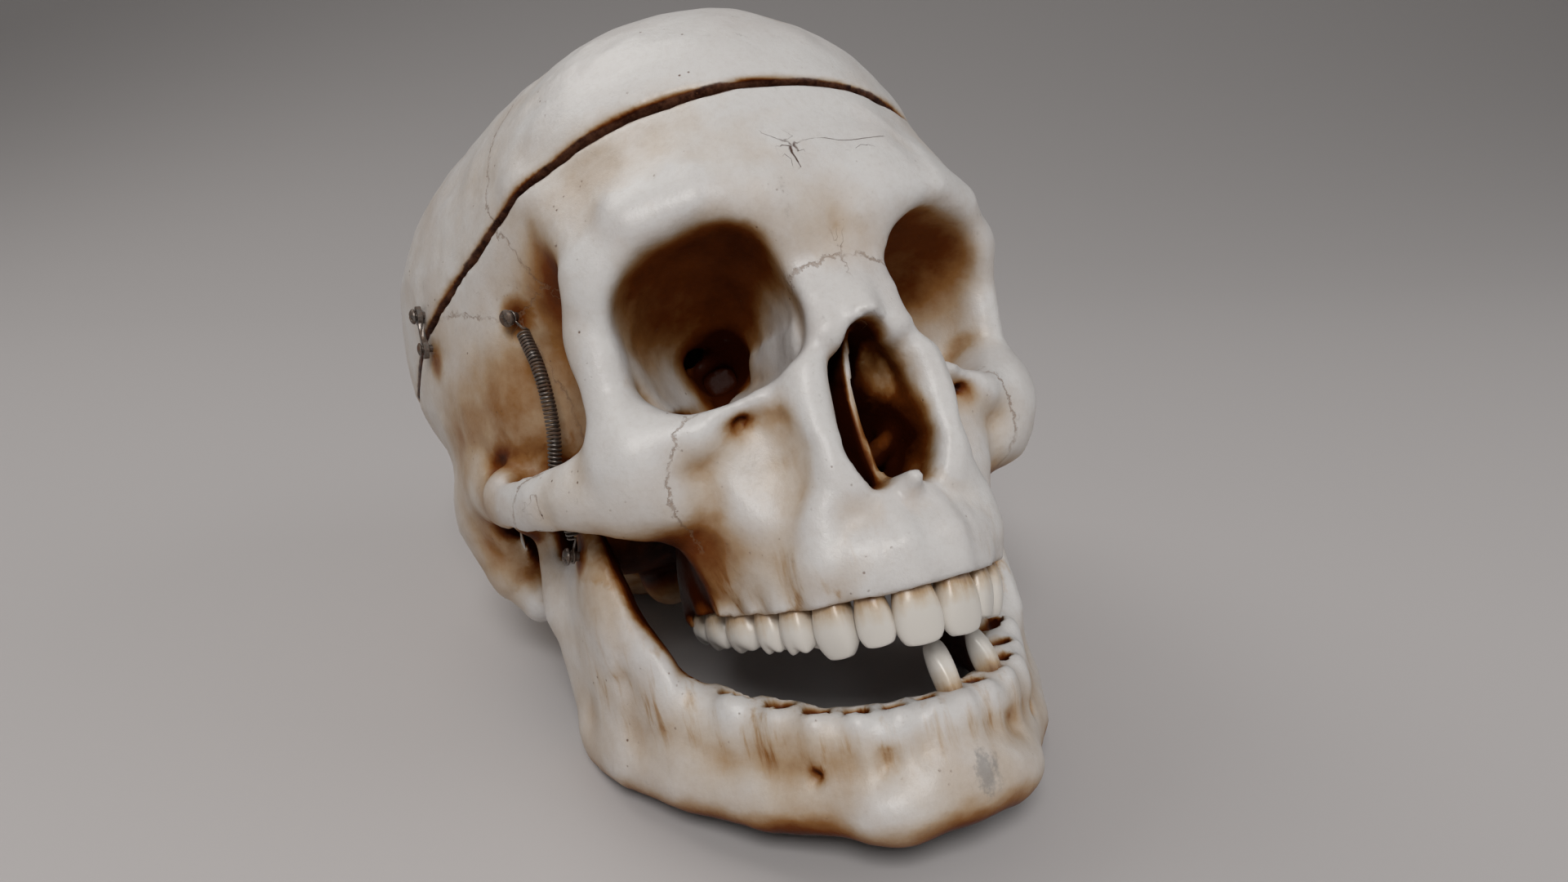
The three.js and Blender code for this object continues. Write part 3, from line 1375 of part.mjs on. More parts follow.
function sidePieces(side, label) {
  const { hook, pivot, pin } = hookSeats;
  const standingOn = ({ point, normal }) => standing(onSide(side, point), onSide(side, normal));
  const springWire = springPath(springScrews).map((point) => onSide(side, point));
  return [
    piece(`cap_hook_${label}`, geometryFromSolid(hookSolid()), steelLook,
      new THREE.Matrix4().setPosition(onSide(side, hook))),
    piece(`hook_screw_${label}`, screw(pivot.form), steelLook, standingOn(pivot)),
    piece(`catch_pin_${label}`, screw(pin.form), steelLook, standingOn(pin)),
    piece(`temple_screw_${label}`, screw(springScrews[0].form), steelLook, standingOn(springScrews[0])),
    piece(`jaw_screw_${label}`, screw(springScrews[1].form), steelLook, standingOn(springScrews[1])),
    piece(`jaw_spring_${label}`, closed(wire(springWire, wireRadius, wireSides)), steelLook),
  ];
}

const skull = new THREE.Group();
skull.rotation.x = -lean;
skull.add(
  piece("cranium", geometryFromSolid(craniumSolid), boneLook),
  piece("skull_cap", geometryFromSolid(capSolid), boneLook),
  piece("lower_jaw", geometryFromSolid(jawSolid), boneLook),
  ...[...teethAbove, ...teethBelow].map(({ name, shares, size, matrix }) => (
    piece(name, closed(tooth(shares, ...size)), toothLook, matrix)
  )),
  ...dowels.map(({ name, point, normal }) => piece(name, dowel(), steelLook, standing(point, normal))),
  ...sidePieces(-1, "right"),
  ...sidePieces(1, "left"),
);
skull.updateMatrixWorld(true);
const extent = new THREE.Box3().setFromObject(skull, true);
const middle = extent.getCenter(new THREE.Vector3());
skull.position.set(-middle.x, -middle.y, -extent.min.z);
console.log(`least gap of the jaw spring to itself: ${leastSelfGap(springPath(springScrews)).toFixed(2)} mm`);

const part = new THREE.Group();
part.add(skull);
export default part;
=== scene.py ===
# Anatomy teaching skull, life size, resting on a pale table and seen from its right front.
import math
import bmesh
import bpy
import numpy as np
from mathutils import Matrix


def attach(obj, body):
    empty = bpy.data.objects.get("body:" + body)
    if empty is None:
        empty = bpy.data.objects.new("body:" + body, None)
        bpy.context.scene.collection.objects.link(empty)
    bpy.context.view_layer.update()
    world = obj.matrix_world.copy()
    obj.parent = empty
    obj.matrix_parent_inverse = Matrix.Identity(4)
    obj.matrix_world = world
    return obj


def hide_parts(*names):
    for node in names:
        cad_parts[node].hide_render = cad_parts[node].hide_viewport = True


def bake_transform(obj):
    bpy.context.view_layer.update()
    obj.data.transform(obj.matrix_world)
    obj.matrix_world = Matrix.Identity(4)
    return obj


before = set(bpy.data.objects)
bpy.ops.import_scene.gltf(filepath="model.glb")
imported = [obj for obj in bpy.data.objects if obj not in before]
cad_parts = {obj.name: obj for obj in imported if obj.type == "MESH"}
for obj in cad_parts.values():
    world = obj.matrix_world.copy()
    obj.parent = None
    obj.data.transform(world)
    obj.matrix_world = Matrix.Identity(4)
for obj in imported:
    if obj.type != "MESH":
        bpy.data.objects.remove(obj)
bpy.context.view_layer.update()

import openvdb
from mathutils import Matrix, Vector

# Camera. The skull leans back on the angles of its jaw and the back of its head, and the camera
# looks at its right front from just above the table. Head places are in millimetres, with x to the
# skull's left, the face towards -y and z up from the ears; this matrix sets them on the table.
lean = math.radians(27.9926)
ears_on_table = (0, 0.0027984, 0.0491109)
metres_per_mm = 0.001
head_to_world = (
    Matrix.Translation(ears_on_table)
    @ Matrix.Rotation(-lean, 4, "X")
    @ Matrix.Scale(metres_per_mm, 4)
)
photo_width, focal_px, sensor_width = 1920, 1303, 36
camera_place = np.array([-105.0, -258.0, -38.0])
camera_turn = np.array([[0.889, -0.393, -0.236], [-0.154, 0.229, -0.961], [0.431, 0.891, 0.143]])
left_vectors, _, right_vectors = np.linalg.svd(camera_turn)
camera_right, camera_down, camera_forward = left_vectors @ right_vectors
camera_axes = Matrix((camera_right, -camera_down, -camera_forward)).transposed()
camera_data = bpy.data.cameras.new("camera")
camera_data.sensor_width = sensor_width
camera_data.lens = focal_px / photo_width * sensor_width
camera_data.clip_start = 0.01
camera = bpy.data.objects.new("camera", camera_data)
bpy.context.collection.objects.link(camera)
camera.matrix_world = (
    Matrix.Translation(head_to_world @ Vector(camera_place))
    @ Matrix.Rotation(-lean, 4, "X")
    @ camera_axes.to_4x4()
)
bpy.context.scene.camera = camera

# Cranium. The real piece is one bone: a thin braincase with the brows, orbits, cheek arches, nose
# and palate in front and the ear parts behind. It is formed from rounded volumes, ridges and
# hollows that run into each other, so it is built from distances on a fine grid, where a blend
# between two forms is a blend between two distances. Shares are of these half sizes.
half = np.array([70.0, 90.0, 100.0])
bone_wall = 6.0
bone_step = 1.0
broad, wide, soft, snug, crisp = 14.0, 9.0, 6.0, 4.0, 2.0


def rounded_min(a, b, blend):
    if blend <= 0:
        return np.minimum(a, b)
    h = np.clip(0.5 + 0.5 * (b - a) / blend, 0, 1)
    return b + (a - b) * h - blend * h * (1 - h)


class BoneGrid:
    """Distances to a bone's surface, negative inside, first for the skull's left half only."""

    def __init__(self, low, high):
        self.axes = [
            np.arange(a, b + bone_step, bone_step, dtype=np.float32) for a, b in zip(low, high)
        ]
        self.depth = np.full([len(axis) for axis in self.axes], broad, np.float32)

    def change(self, form, blend, sign):
        low, high, distance = form
        pad = blend + 3 * bone_step
        window, places = [], []
        for i, axis in enumerate(self.axes):
            first, last = np.searchsorted(axis, [low[i] - pad, high[i] + pad])
            if first >= last:
                return
            shape = [1, 1, 1]
            shape[i] = -1
            window.append(slice(first, last))
            places.append(axis[first:last].reshape(shape))
        window = tuple(window)
        here, other = self.depth[window], distance(*places).astype(np.float32)
        self.depth[window] = sign * rounded_min(sign * here, other, blend)

    def add(self, form, blend=0):
        self.change(form, blend, 1)

    def cut(self, form, blend=0):
        self.change(form, blend, -1)

    def unfold(self):
        x = self.axes[0]
        self.axes[0] = np.concatenate([-x[:0:-1], x])
        self.depth = np.concatenate([self.depth[:0:-1], self.depth])

    def at(self, points):
        """Distances at any places, mixed from the eight samples around each."""
        low = np.array([axis[0] for axis in self.axes])
        size = np.array(self.depth.shape)
        spot = np.clip((points - low) / bone_step, 0, size - 1.001)
        cell = spot.astype(int)
        share = spot - cell
        total = 0
        for corner in range(8):
            step = np.array([corner & 1, corner >> 1 & 1, corner >> 2])
            weight = np.prod(np.where(step, share, 1 - share), axis=1)
            total = total + weight * self.depth[tuple((cell + step).T)]
        return total


def ball(shares, turn=0.0):
    centre, reach = np.array(shares[0]) * half, np.array(shares[1]) * half
    cos, sin = math.cos(math.radians(turn)), math.sin(math.radians(turn))

    def distance(x, y, z):
        x, y = x - centre[0], y - centre[1]
        u, v = (cos * x + sin * y) / reach[0], (cos * y - sin * x) / reach[1]
        w = (z - centre[2]) / reach[2]
        near = np.sqrt(u * u + v * v + w * w)
        slope = np.sqrt((u / reach[0]) ** 2 + (v / reach[1]) ** 2 + (w / reach[2]) ** 2) + 1e-6
        return near * (near - 1) / slope
    box = reach if turn == 0 else np.full(3, reach.max())
    return centre - box, centre + box, distance


def bar(points, radii, stretch=(1, 1, 1)):
    points, radii, stretch = (np.array(rows, float) for rows in (points, radii, stretch))

    def distance(x, y, z):
        best = None
        for i in range(len(points) - 1):
            start, end = points[i] / stretch, points[i + 1] / stretch
            along = end - start
            spot = [p / s - q for p, s, q in zip((x, y, z), stretch, start)]
            t = np.clip(sum(p * a for p, a in zip(spot, along)) / (along @ along), 0, 1)
            off = np.sqrt(sum((p - t * a) ** 2 for p, a in zip(spot, along)))
            off = off - radii[i] - t * (radii[i + 1] - radii[i])
            best = off if best is None else np.minimum(best, off)
        return best * stretch.min()
    box = radii.max() * stretch
    return points.min(0) - box, points.max(0) + box, distance


def ridge(rows, stretch=(1, 1, 1)):
    rows = np.array(rows, float)
    return bar(rows[:, :3] * half, rows[:, 3] * half[0], stretch)


# An orbit is a cone with a rounded square section, wider and taller towards the face.
orbit_apex, orbit_front = np.array([[0.145, -0.41, 0.14], [0.42, -0.92, 0.17]]) * half
orbit_apex_width, orbit_width, orbit_apex_height, orbit_tall = 7, 35, 6, 33
orbit_power, orbit_roll, orbit_most = 2.7, math.radians(14), 24


def orbit(grow=0.0):
    axis = orbit_front - orbit_apex
    length = np.linalg.norm(axis)
    axis = axis / length
    lift = np.array([0, 0, 1.0]) - axis * axis[2]
    lift /= np.linalg.norm(lift)
    out = np.cross(lift, axis)
    out *= np.sign(out[0])
    side = math.cos(orbit_roll) * out - math.sin(orbit_roll) * lift
    up = math.sin(orbit_roll) * out + math.cos(orbit_roll) * lift

    def distance(x, y, z):
        x, y, z = x - orbit_apex[0], y - orbit_apex[1], z - orbit_apex[2]
        t = (x * axis[0] + y * axis[1] + z * axis[2]) / length
        swell = np.sin(np.clip(t, 0, 1) * math.pi * 0.56) + np.clip(t - 1, 0, 0.6)
        wide_half = (orbit_apex_width + (orbit_width - orbit_apex_width) * swell) / 2 + grow
        tall_half = (orbit_apex_height + (orbit_tall - orbit_apex_height) * swell) / 2 + grow
        u = np.abs(x * side[0] + y * side[1] + z * side[2]) / wide_half
        w = np.abs(x * up[0] + y * up[1] + z * up[2]) / tall_half
        q = (u ** orbit_power + w ** orbit_power + 1e-9) ** (1 / orbit_power)
        return np.maximum((q - 1) * np.minimum(wide_half, tall_half), -t * length - 2 - grow)
    low, high = np.minimum(orbit_apex, orbit_front), np.maximum(orbit_apex, orbit_front)
    return low - orbit_most, high + orbit_most, distance


def orbit_height(points):
    """Height in an orbit, from -1 at its floor to 1 at its roof, and a share for being inside."""
    spot = np.abs(points[:, 0]), points[:, 1], points[:, 2]
    axis, floor_lift, floor_slope, half_height, rim_fade = orbit_front - orbit_apex, 4, 3, 13, 0.16
    along = (np.stack(spot, axis=1) - orbit_apex) @ axis / (axis @ axis)
    inside = np.clip(-orbit(2.0)[2](*spot) / 2, 0, 1) * np.clip((1.0 - along) / rim_fade, 0, 1)
    rise = spot[2] - orbit_apex[2] - floor_lift - floor_slope * along
    return np.clip(rise / half_height, -1, 1), inside


nose_low, nose_high, nose_front, nose_rear = -13, 6, -110, -36
nose_half_width, nose_narrowing = 10.5, 6


def nose_opening():
    def distance(x, y, z):
        t = np.clip((z - nose_low) / (nose_high - nose_low), 0, 1)
        off = np.sqrt(x * x + (z - np.clip(z, nose_low, nose_high)) ** 2)
        off = off - (nose_half_width - nose_narrowing * t)
        return np.maximum(off, np.maximum(nose_front - y, y - nose_rear))
    return np.array([-11, nose_front, -24]), np.array([11, nose_rear, 11]), distance


# The upper tooth arch, half of a squarish oval, and the ridge of bone that holds the teeth.
arch_half_width, arch_depth, arch_middle, arch_power = 25, 45, -42.75, 2 / 2.3
gum_low, gum_slope, gum_front, gum_rear, gum_top = -41.5, 0.105, -83.7, -38.7, -30


def arch_point(share):
    angle = share * math.pi / 2
    out, ahead = abs(math.sin(angle)) ** arch_power, abs(math.cos(angle)) ** arch_power
    forward = math.copysign(1, math.cos(angle))
    return arch_half_width * out, arch_middle - arch_depth * ahead * forward


def gum_ridge():
    shares = [0, 0.2, 0.4, 0.6, 0.8, 1]
    points = [[*np.add(arch_point(s), (0, 0.84)), -36.5 + 5 * s] for s in shares]
    return bar(points, [5.95 + 0.35 * s for s in shares], (1, 1, 1.5))


def gum_height(y):
    return gum_low + gum_slope * np.clip(y - gum_front, 0, arch_depth)


def below_gum():
    def distance(x, y, z):
        return np.maximum(np.maximum(z - gum_height(y), y - gum_rear), z - gum_top + 0 * x)
    return np.array([-70, -110, -100]), np.array([70, gum_rear, gum_top]), distance


# Places of the upper teeth on the left side, from the middle back: x, y, the neck's height, the
# turn about the vertical in degrees, and the tooth's width, depth and crown height.
upper_teeth = {
    "central_incisor": (4.48, -87.37, -41.5, 10.97, 8.6, 7, 10.5),
    "lateral_incisor": (11.72, -84.13, -41.5, 36.83, 6.6, 6.2, 9),
    "canine": (16.85, -78.7, -40.97, 55.24, 7.6, 8, 10.2),
    "first_premolar": (20.44, -71.99, -40.27, 67.57, 6.8, 9, 8.2),
    "second_premolar": (22.64, -65.27, -39.57, 75.57, 6.6, 9.2, 7.8),
    "first_molar": (24.23, -56.83, -38.68, 82.71, 9.8, 11, 7.4),
    "second_molar": (24.95, -46.91, -37.64, 88.54, 9.2, 10.8, 7.2),
    "third_molar": (24.94, -37.96, -36.77, 91.72, 8, 10, 6.6),
}


def root_swelling(row):
    """The bulge of a root under the bone outside it."""
    x, y, z, turn, width, depth, _ = row
    out = np.array([math.sin(math.radians(turn)), -math.cos(math.radians(turn)), 0])
    start = np.array([x, y, z]) + out * (depth / 2 - width * 0.28)
    middle = np.array([x * 0.97, y + 0.6, z + 8]) + out * 3.1
    end = np.array([x * 0.94, y + 2.4, z + 17]) + out * 1.8
    return bar([start, middle, end], [width * 0.43, width * 0.4, width * 0.2])


def tooth_socket(row):
    x, y, z, turn, width, depth, _ = row
    centre, reach = np.array([x, y, z - 0.6]), np.array([width * 0.46, depth * 0.5, 3.0])
    return ball((centre / half, reach / half), turn)


condyle = [[0.7, -0.12, -0.065], [0.135, 0.05, 0.05]]
condyle_neck = [
    [0.7, -0.12, -0.08, 0.066], [0.7, -0.105, -0.16, 0.06], [0.705, -0.11, -0.28, 0.08],
]
ramus_rear = [
    [0.705, -0.11, -0.18, 0.08], [0.7, -0.14, -0.38, 0.093], [0.68, -0.21, -0.56, 0.107],
]
ramus_plate = [[0.69, -0.265, -0.4], [0.052, 0.19, 0.22]]
coronoid = [
    [0.67, -0.365, -0.07, 0.046], [0.67, -0.395, -0.2, 0.086], [0.655, -0.43, -0.36, 0.115],
    [0.6, -0.5, -0.5, 0.115],
]


def ramus_forms():
    return [
        ball(condyle, -14), ridge(condyle_neck, (0.8, 1, 1)), ridge(ramus_rear, (0.55, 1, 1)),
        ball(ramus_plate), ridge(coronoid, (0.55, 1, 1)),
    ]


def swung_ramus(angle, gap):
    """The rising branch of the jaw, turned about the condyles and grown by a gap."""
    forms = ramus_forms()
    cos, sin = math.cos(math.radians(angle)), math.sin(math.radians(angle))
    py, pz = condyle[0][1] * half[1], condyle[0][2] * half[2]

    def distance(x, y, z):
        back, up = py + cos * (y - py) + sin * (z - pz), pz + cos * (z - pz) - sin * (y - py)
        near = broad
        for _, _, form in forms:
            near = rounded_min(near, form(x, back, up), snug)
        return near - gap
    return np.array([35, -62, -72]), np.array([68, 14, 8]), distance


head_low, head_high = [0, -106.5, -48], [77.5, 99.5, 124.5]
head = BoneGrid(head_low, head_high)
for shares, blend in (
    ([[0, 0.065, 0.46], [0.915, 0.955, 0.66]], 0),
    ([[0.37, 0.3, 0.5], [0.605, 0.545, 0.49]], broad),
    ([[0, -0.42, 0.53], [0.715, 0.49, 0.46]], wide),
    ([[0, 0.6, 0.24], [0.655, 0.435, 0.36]], broad),
    ([[0.385, -0.02, 0.18], [0.515, 0.445, 0.33]], broad),
    ([[0, 0.445, 0.02], [0.645, 0.42, 0.31]], broad),
    ([[0.47, -0.31, 0.14], [0.3, 0.265, 0.22]], wide),
):
    head.add(ball(shares), blend)
head.cut(ball([[0.9, -0.535, 0.08], [0.285, 0.17, 0.27]]), wide)
head.cut(ridge([[0.83, -0.265, -0.2, 0.17], [0.855, -0.38, -0.12, 0.2]]), wide)
brain_case = head.depth.copy()

# Brows, orbit rims, cheeks, nose bones and the upper jaw.
head.add(ridge([
    [0, -0.87, 0.38, 0.115], [0.17, -0.9, 0.365, 0.107], [0.37, -0.89, 0.38, 0.086],
    [0.53, -0.835, 0.365, 0.08], [0.62, -0.755, 0.3, 0.07],
]), wide)
head.add(ridge([
    [0, -0.83, 0.46, 0.11], [0.22, -0.825, 0.46, 0.11], [0.4, -0.77, 0.45, 0.1],
    [0.53, -0.69, 0.41, 0.08],
]), broad)
head.add(ridge([
    [0.62, -0.74, 0.3, 0.055], [0.635, -0.69, 0.4, 0.05], [0.645, -0.61, 0.5, 0.045],
    [0.69, -0.5, 0.6, 0.03],
]), soft)
head.add(ridge([
    [0.62, -0.745, 0.3, 0.07], [0.65, -0.715, 0.2, 0.063], [0.65, -0.7, 0.08, 0.066],
    [0.62, -0.72, -0.04, 0.09],
]), soft)
head.add(ridge([
    [0.615, -0.68, 0.2, 0.057], [0.515, -0.6, 0.14, 0.066], [0.43, -0.51, 0.12, 0.086],
], (1, 1, 2.4)), soft)
head.add(ball([[0.585, -0.7, -0.07], [0.16, 0.11, 0.11]]), soft)
head.add(ball([[0.665, -0.665, 0.19], [0.035, 0.032, 0.05]]), soft)
head.add(ridge([
    [0.74, -0.59, -0.095, 0.066], [0.65, -0.665, -0.135, 0.07], [0.53, -0.72, -0.155, 0.07],
]), soft)
head.add(ridge([
    [0.62, -0.73, -0.02, 0.07], [0.47, -0.805, -0.045, 0.064], [0.315, -0.855, -0.01, 0.057],
    [0.22, -0.865, 0.08, 0.057],
]), snug)
head.add(ball([[0, -0.69, 0.17], [0.17, 0.245, 0.18]]), snug)
head.add(ridge([
    [0.085, -0.855, 0.27, 0.07], [0.155, -0.875, 0.12, 0.07], [0.2, -0.905, -0.01, 0.06],
    [0.22, -0.9, -0.14, 0.066],
]), snug)
head.add(ridge([
    [0.03, -0.865, 0.31, 0.1], [0.065, -0.87, 0.23, 0.085], [0.09, -0.91, 0.15, 0.077],
    [0.1, -0.945, 0.09, 0.058],
]), soft)
head.add(ball([[0.12, -0.9, 0.31], [0.08, 0.05, 0.055]]), soft)
head.add(ridge([[0, -0.88, 0.28, 0.08], [0, -0.915, 0.18, 0.069], [0, -0.99, 0.09, 0.049]]), snug)
head.add(ball([[0.235, -0.7, -0.15], [0.245, 0.21, 0.22]]), soft)
head.add(ridge([
    [0.19, -0.935, 0.02, 0.05], [0.2, -0.935, -0.1, 0.055], [0.16, -0.94, -0.21, 0.064],
]), snug)
head.add(gum_ridge(), soft)
head.add(ball([[0, -0.77, -0.28], [0.25, 0.19, 0.085]]), soft)
head.add(ball([[0.32, -0.51, -0.2], [0.13, 0.11, 0.16]]), soft)
head.add(ridge([
    [0.57, -0.645, -0.14, 0.07], [0.46, -0.655, -0.2, 0.06], [0.39, -0.645, -0.3, 0.055],
]), soft)
head.add(ridge([[0.235, -0.925, -0.18, 0.037], [0.25, -0.91, -0.33, 0.048]]), soft)
head.cut(ball([[0.37, -0.925, -0.14], [0.115, 0.067, 0.09]]), soft)
for row in upper_teeth.values():
    head.add(root_swelling(row), crisp)

# Ear parts, base, mastoid processes, neck joint and cheek arches.
head.add(ridge([
    [0.82, -0.045, 0.04, 0.08], [0.82, 0.11, 0.06, 0.08], [0.8, 0.265, 0.12, 0.057],
]), wide)
head.add(ball([[0.4, -0.065, -0.11], [0.385, 0.165, 0.12]]), wide)
clivus = ridge([
    [0, 0.065, -0.21, 0.13], [0, -0.18, -0.14, 0.143], [0, -0.335, -0.04, 0.17],
], (1.4, 1, 1))
head.add(clivus, wide)
head.add(ball([[0, -0.38, 0.04], [0.285, 0.18, 0.15]]), wide)
head.add(ball([[0.415, -0.465, 0.06], [0.215, 0.155, 0.16]]), wide)
head.add(ridge([
    [0.77, 0.19, 0, 0.2], [0.755, 0.165, -0.13, 0.15], [0.715, 0.135, -0.23, 0.093],
], (0.85, 1.1, 1)), soft)
head.add(ball([[0.73, 0.05, -0.065], [0.1, 0.045, 0.07]]), snug)
head.add(ridge([[0.57, -0.245, -0.03, 0.08], [0.83, -0.255, -0.02, 0.08]]), soft)
head.add(ball([[0, 0.94, 0], [0.07, 0.035, 0.04]]), wide)
head.add(ridge([
    [0, 0.925, -0.01, 0.03], [0.285, 0.88, 0.01, 0.03], [0.54, 0.73, 0.03, 0.03],
    [0.74, 0.5, 0.04, 0.03],
]), wide)
head.add(ridge([
    [0.215, -0.39, -0.04, 0.07], [0.27, -0.365, -0.2, 0.064], [0.285, -0.345, -0.33, 0.046],
], (0.5, 1.6, 1)), snug)
head.add(ridge([[0.17, -0.4, -0.04, 0.057], [0.17, -0.4, -0.33, 0.043]], (0.4, 1.3, 1)), crisp)
head.add(ball([[0.25, 0.09, -0.25], [0.1, 0.133, 0.075]], 25), snug)
head.cut(ridge([[1.06, 0.01, -0.05, 0.057], [0.63, -0.035, -0.05, 0.043]]), crisp)
head.cut(ridge([[0.615, 0.045, -0.27, 0.043], [0.615, 0.335, -0.2, 0.043]]), snug)
head.add(ridge([
    [0.625, -0.68, -0.08, 0.093], [0.745, -0.59, -0.085, 0.08], [0.83, -0.48, -0.075, 0.063],
    [0.875, -0.335, -0.05, 0.054], [0.88, -0.2, -0.02, 0.054], [0.865, -0.065, 0.025, 0.071],
    [0.82, 0.045, 0.04, 0.1],
], (0.72, 1, 1.3)), snug)

# Orbits, palate and nasal passages, with the fissures and small nerve holes.
head.cut(orbit(), crisp)
head.cut(ball([[0, -0.665, -0.44], [0.26, 0.3, 0.14]]), snug)
head.cut(nose_opening(), crisp)
for rows in (
    [[0.185, -0.465, 0.09, 0.042], [0.315, -0.56, 0.035, 0.044], [0.43, -0.63, 0, 0.04]],
    [[0.17, -0.445, 0.15, 0.037], [0.245, -0.42, 0.21, 0.042], [0.34, -0.445, 0.27, 0.03]],
):
    head.cut(ridge(rows), crisp)
head.cut(bar(
    [[26.2, -81, -8], [25.6, -78, -5.6], [24.8, -75.5, -3.6]], [1.3, 1.2, 0.8], (1.5, 1, 1),
), crisp)
head.cut(ball([[0.365, -0.9, -0.06], [0.075, 0.04, 0.04]]), snug)
for points, radii in (
    ([[24.8, -88.4, 36.8], [26, -87, 34.4]], [0.8, 0.8]),
    ([[44, -70, -6.5], [41, -66, -5]], [0.8, 0.7]),
    ([[17, -77.5, 9], [15.6, -75, 5]], [2.2, 1.6]),
):
    head.cut(bar(points, radii), crisp)

# The brain's space, one bone wall inside the braincase, clear of the orbits, nose and base.
space = BoneGrid(head_low, head_high)
space.depth = brain_case + bone_wall
space.cut(orbit(bone_wall * 0.6), snug)
space.cut(ball([[0, -0.665, 0.2], [0.2, 0.38, 0.22]]), snug)
space.cut(ball([[0.37, -0.73, 0.26], [0.485, 0.335, 0.11]]), snug)
space.cut(ball([[0, -0.38, 0.02], [0.215, 0.155, 0.14]]), soft)
space.cut(ridge([
    [0.83, 0.065, 0.02, 0.13], [0.54, -0.02, 0.06, 0.13], [0.2, -0.18, 0.06, 0.1],
]), soft)
space.cut(clivus, soft)
head.depth = np.maximum(head.depth, -space.depth)

# The hole for the spinal cord, the gum line, the tooth sockets, and room for the jaw to swing in.
foramen_width, foramen_length, foramen_middle = 29, 35, 24.3
jaw_room, jaw_openings = 1.2, (0, 4, 8, 12, 16, 20)
head.cut(bar(
    [[0, foramen_middle, -100], [0, foramen_middle, 0]], [foramen_width / 2] * 2,
    (1, foramen_length / foramen_width, 1),
), crisp)
head.cut(below_gum(), 1.2)
for row in upper_teeth.values():
    head.cut(tooth_socket(row), 1.0)
for opening in jaw_openings:
    head.cut(swung_ramus(opening, jaw_room), 0.8)
head.unfold()
space.unfold()


# The nasal septum, a bowed plate, with the spine below it and the scrolls of bone beside it.
septum_low, septum_high = [-5, -80, -25], [5, -40.5, 12]
septum_half_wall, septum_bow = 0.75, 2.3


def septum(x, y, z):
    bow = septum_bow * np.sin(np.clip((z - septum_low[2]) / 35, 0, 1) * math.pi)
    off = np.abs(x + bow * np.clip((-44 - y) / 20, 0, 1)) - septum_half_wall
    ends = np.maximum(septum_low[1] - y, y - septum_high[1])
    return np.maximum(np.maximum(off, ends), np.maximum(septum_low[2] - z, z - septum_high[2]))


head.add((np.array(septum_low), np.array(septum_high), septum), crisp)
head.add(ridge([[0, -0.91, -0.25, 0.06], [0, -1.015, -0.22, 0.021]]), snug)
for side in (-1, 1):
    head.add(ridge([
        [side * 0.17, -0.82, -0.09, 0.03], [side * 0.1, -0.735, -0.14, 0.046],
        [side * 0.115, -0.555, -0.14, 0.03],
    ], (0.8, 1, 0.8)), crisp)
    head.add(ridge([
        [side * 0.13, -0.78, 0.03, 0.024], [side * 0.085, -0.68, -0.01, 0.04],
        [side * 0.1, -0.51, 0, 0.026],
    ], (0.7, 1, 1)), crisp)
    head.add(bar(
        [[side * 8.8, -76, 8], [side * 7.4, -66, 8], [side * 7.2, -50, 9]], [1.3] * 3, (1, 1, 5),
    ), crisp)


def value_noise(places, size, seed):
    """Smooth random values from -1 to 1 that change over a length in millimetres."""
    values = np.random.default_rng(seed).uniform(-1, 1, (24, 24, 24)).astype(np.float32)
    spot = [p / size + 64 for p in places]
    cell = [np.floor(s).astype(int) for s in spot]
    share = [s - c for s, c in zip(spot, cell)]
    share = [s * s * (3 - 2 * s) for s in share]
    total = 0
    for corner in range(8):
        step = (corner & 1, corner >> 1 & 1, corner >> 2)
        weight, index = 1, []
        for s, c, k in zip(share, cell, step):
            weight = weight * (s if k else 1 - s)
            index.append((c + k) % 24)
        total = total + weight * values[tuple(index)]
    return total


def roughen(grid, seed):
    """Small hollows and swellings over the whole bone, as bone that has lain about has them."""
    x, y, z = np.meshgrid(*grid.axes, indexing="ij", sparse=True)
    near = np.abs(grid.depth) < 4
    places = [np.broadcast_to(p, near.shape)[near] for p in (x, y, z)]
    rough = 0.34 * value_noise(places, 13.0, seed) + 0.2 * value_noise(places, 6.0, seed + 1)
    grid.depth[near] += rough + 0.12 * value_noise(places, 2.9, seed + 2)


# The saw cut: a plane that falls towards the back, a gap as wide as the saw, and chipped edges.
seam_height, seam_slope, seam_half_gap, seam_edge = 45, 0.225, 0.35, 1.2
saw_wander, chip_depth, chip_unevenness, base_chip_share = 0.22, 1.2, 0.95, 0.6
skin_depth = 2.6
inner_skin = 2.5


def above_cut(y, z):
    return (z + seam_slope * y - seam_height) / math.hypot(1, seam_slope)


def noise_across(size, seed):
    """Noise that is the same all the way up, for the whole of the head's grid."""
    return value_noise((x + 0 * y, y + 0 * x, 0 * x + 0 * y), size, seed)


roughen(head, 11)
x, y, z = np.meshgrid(*head.axes, indexing="ij", sparse=True)
near_outside = np.clip((head.depth + skin_depth) / skin_depth, 0, 1) * (space.depth > inner_skin)
cap_chips, base_chips = (
    near_outside * (chip_depth + chip_unevenness * noise_across(5.0, seed)) for seed in (21, 22)
)
cap_rise, base_rise = (above_cut(y, z) + saw_wander * noise_across(7.0, seed) for seed in (5, 9))
cap_side = seam_half_gap + cap_chips - cap_rise
base_side = seam_half_gap + base_chip_share * base_chips + base_rise
cranium_depth = -rounded_min(-head.depth, -base_side, seam_edge)
cap_depth = -rounded_min(-head.depth, -cap_side, seam_edge)


def add_piece(name, mesh):
    piece = bpy.data.objects.new(name, mesh)
    bpy.context.collection.objects.link(piece)
    return piece


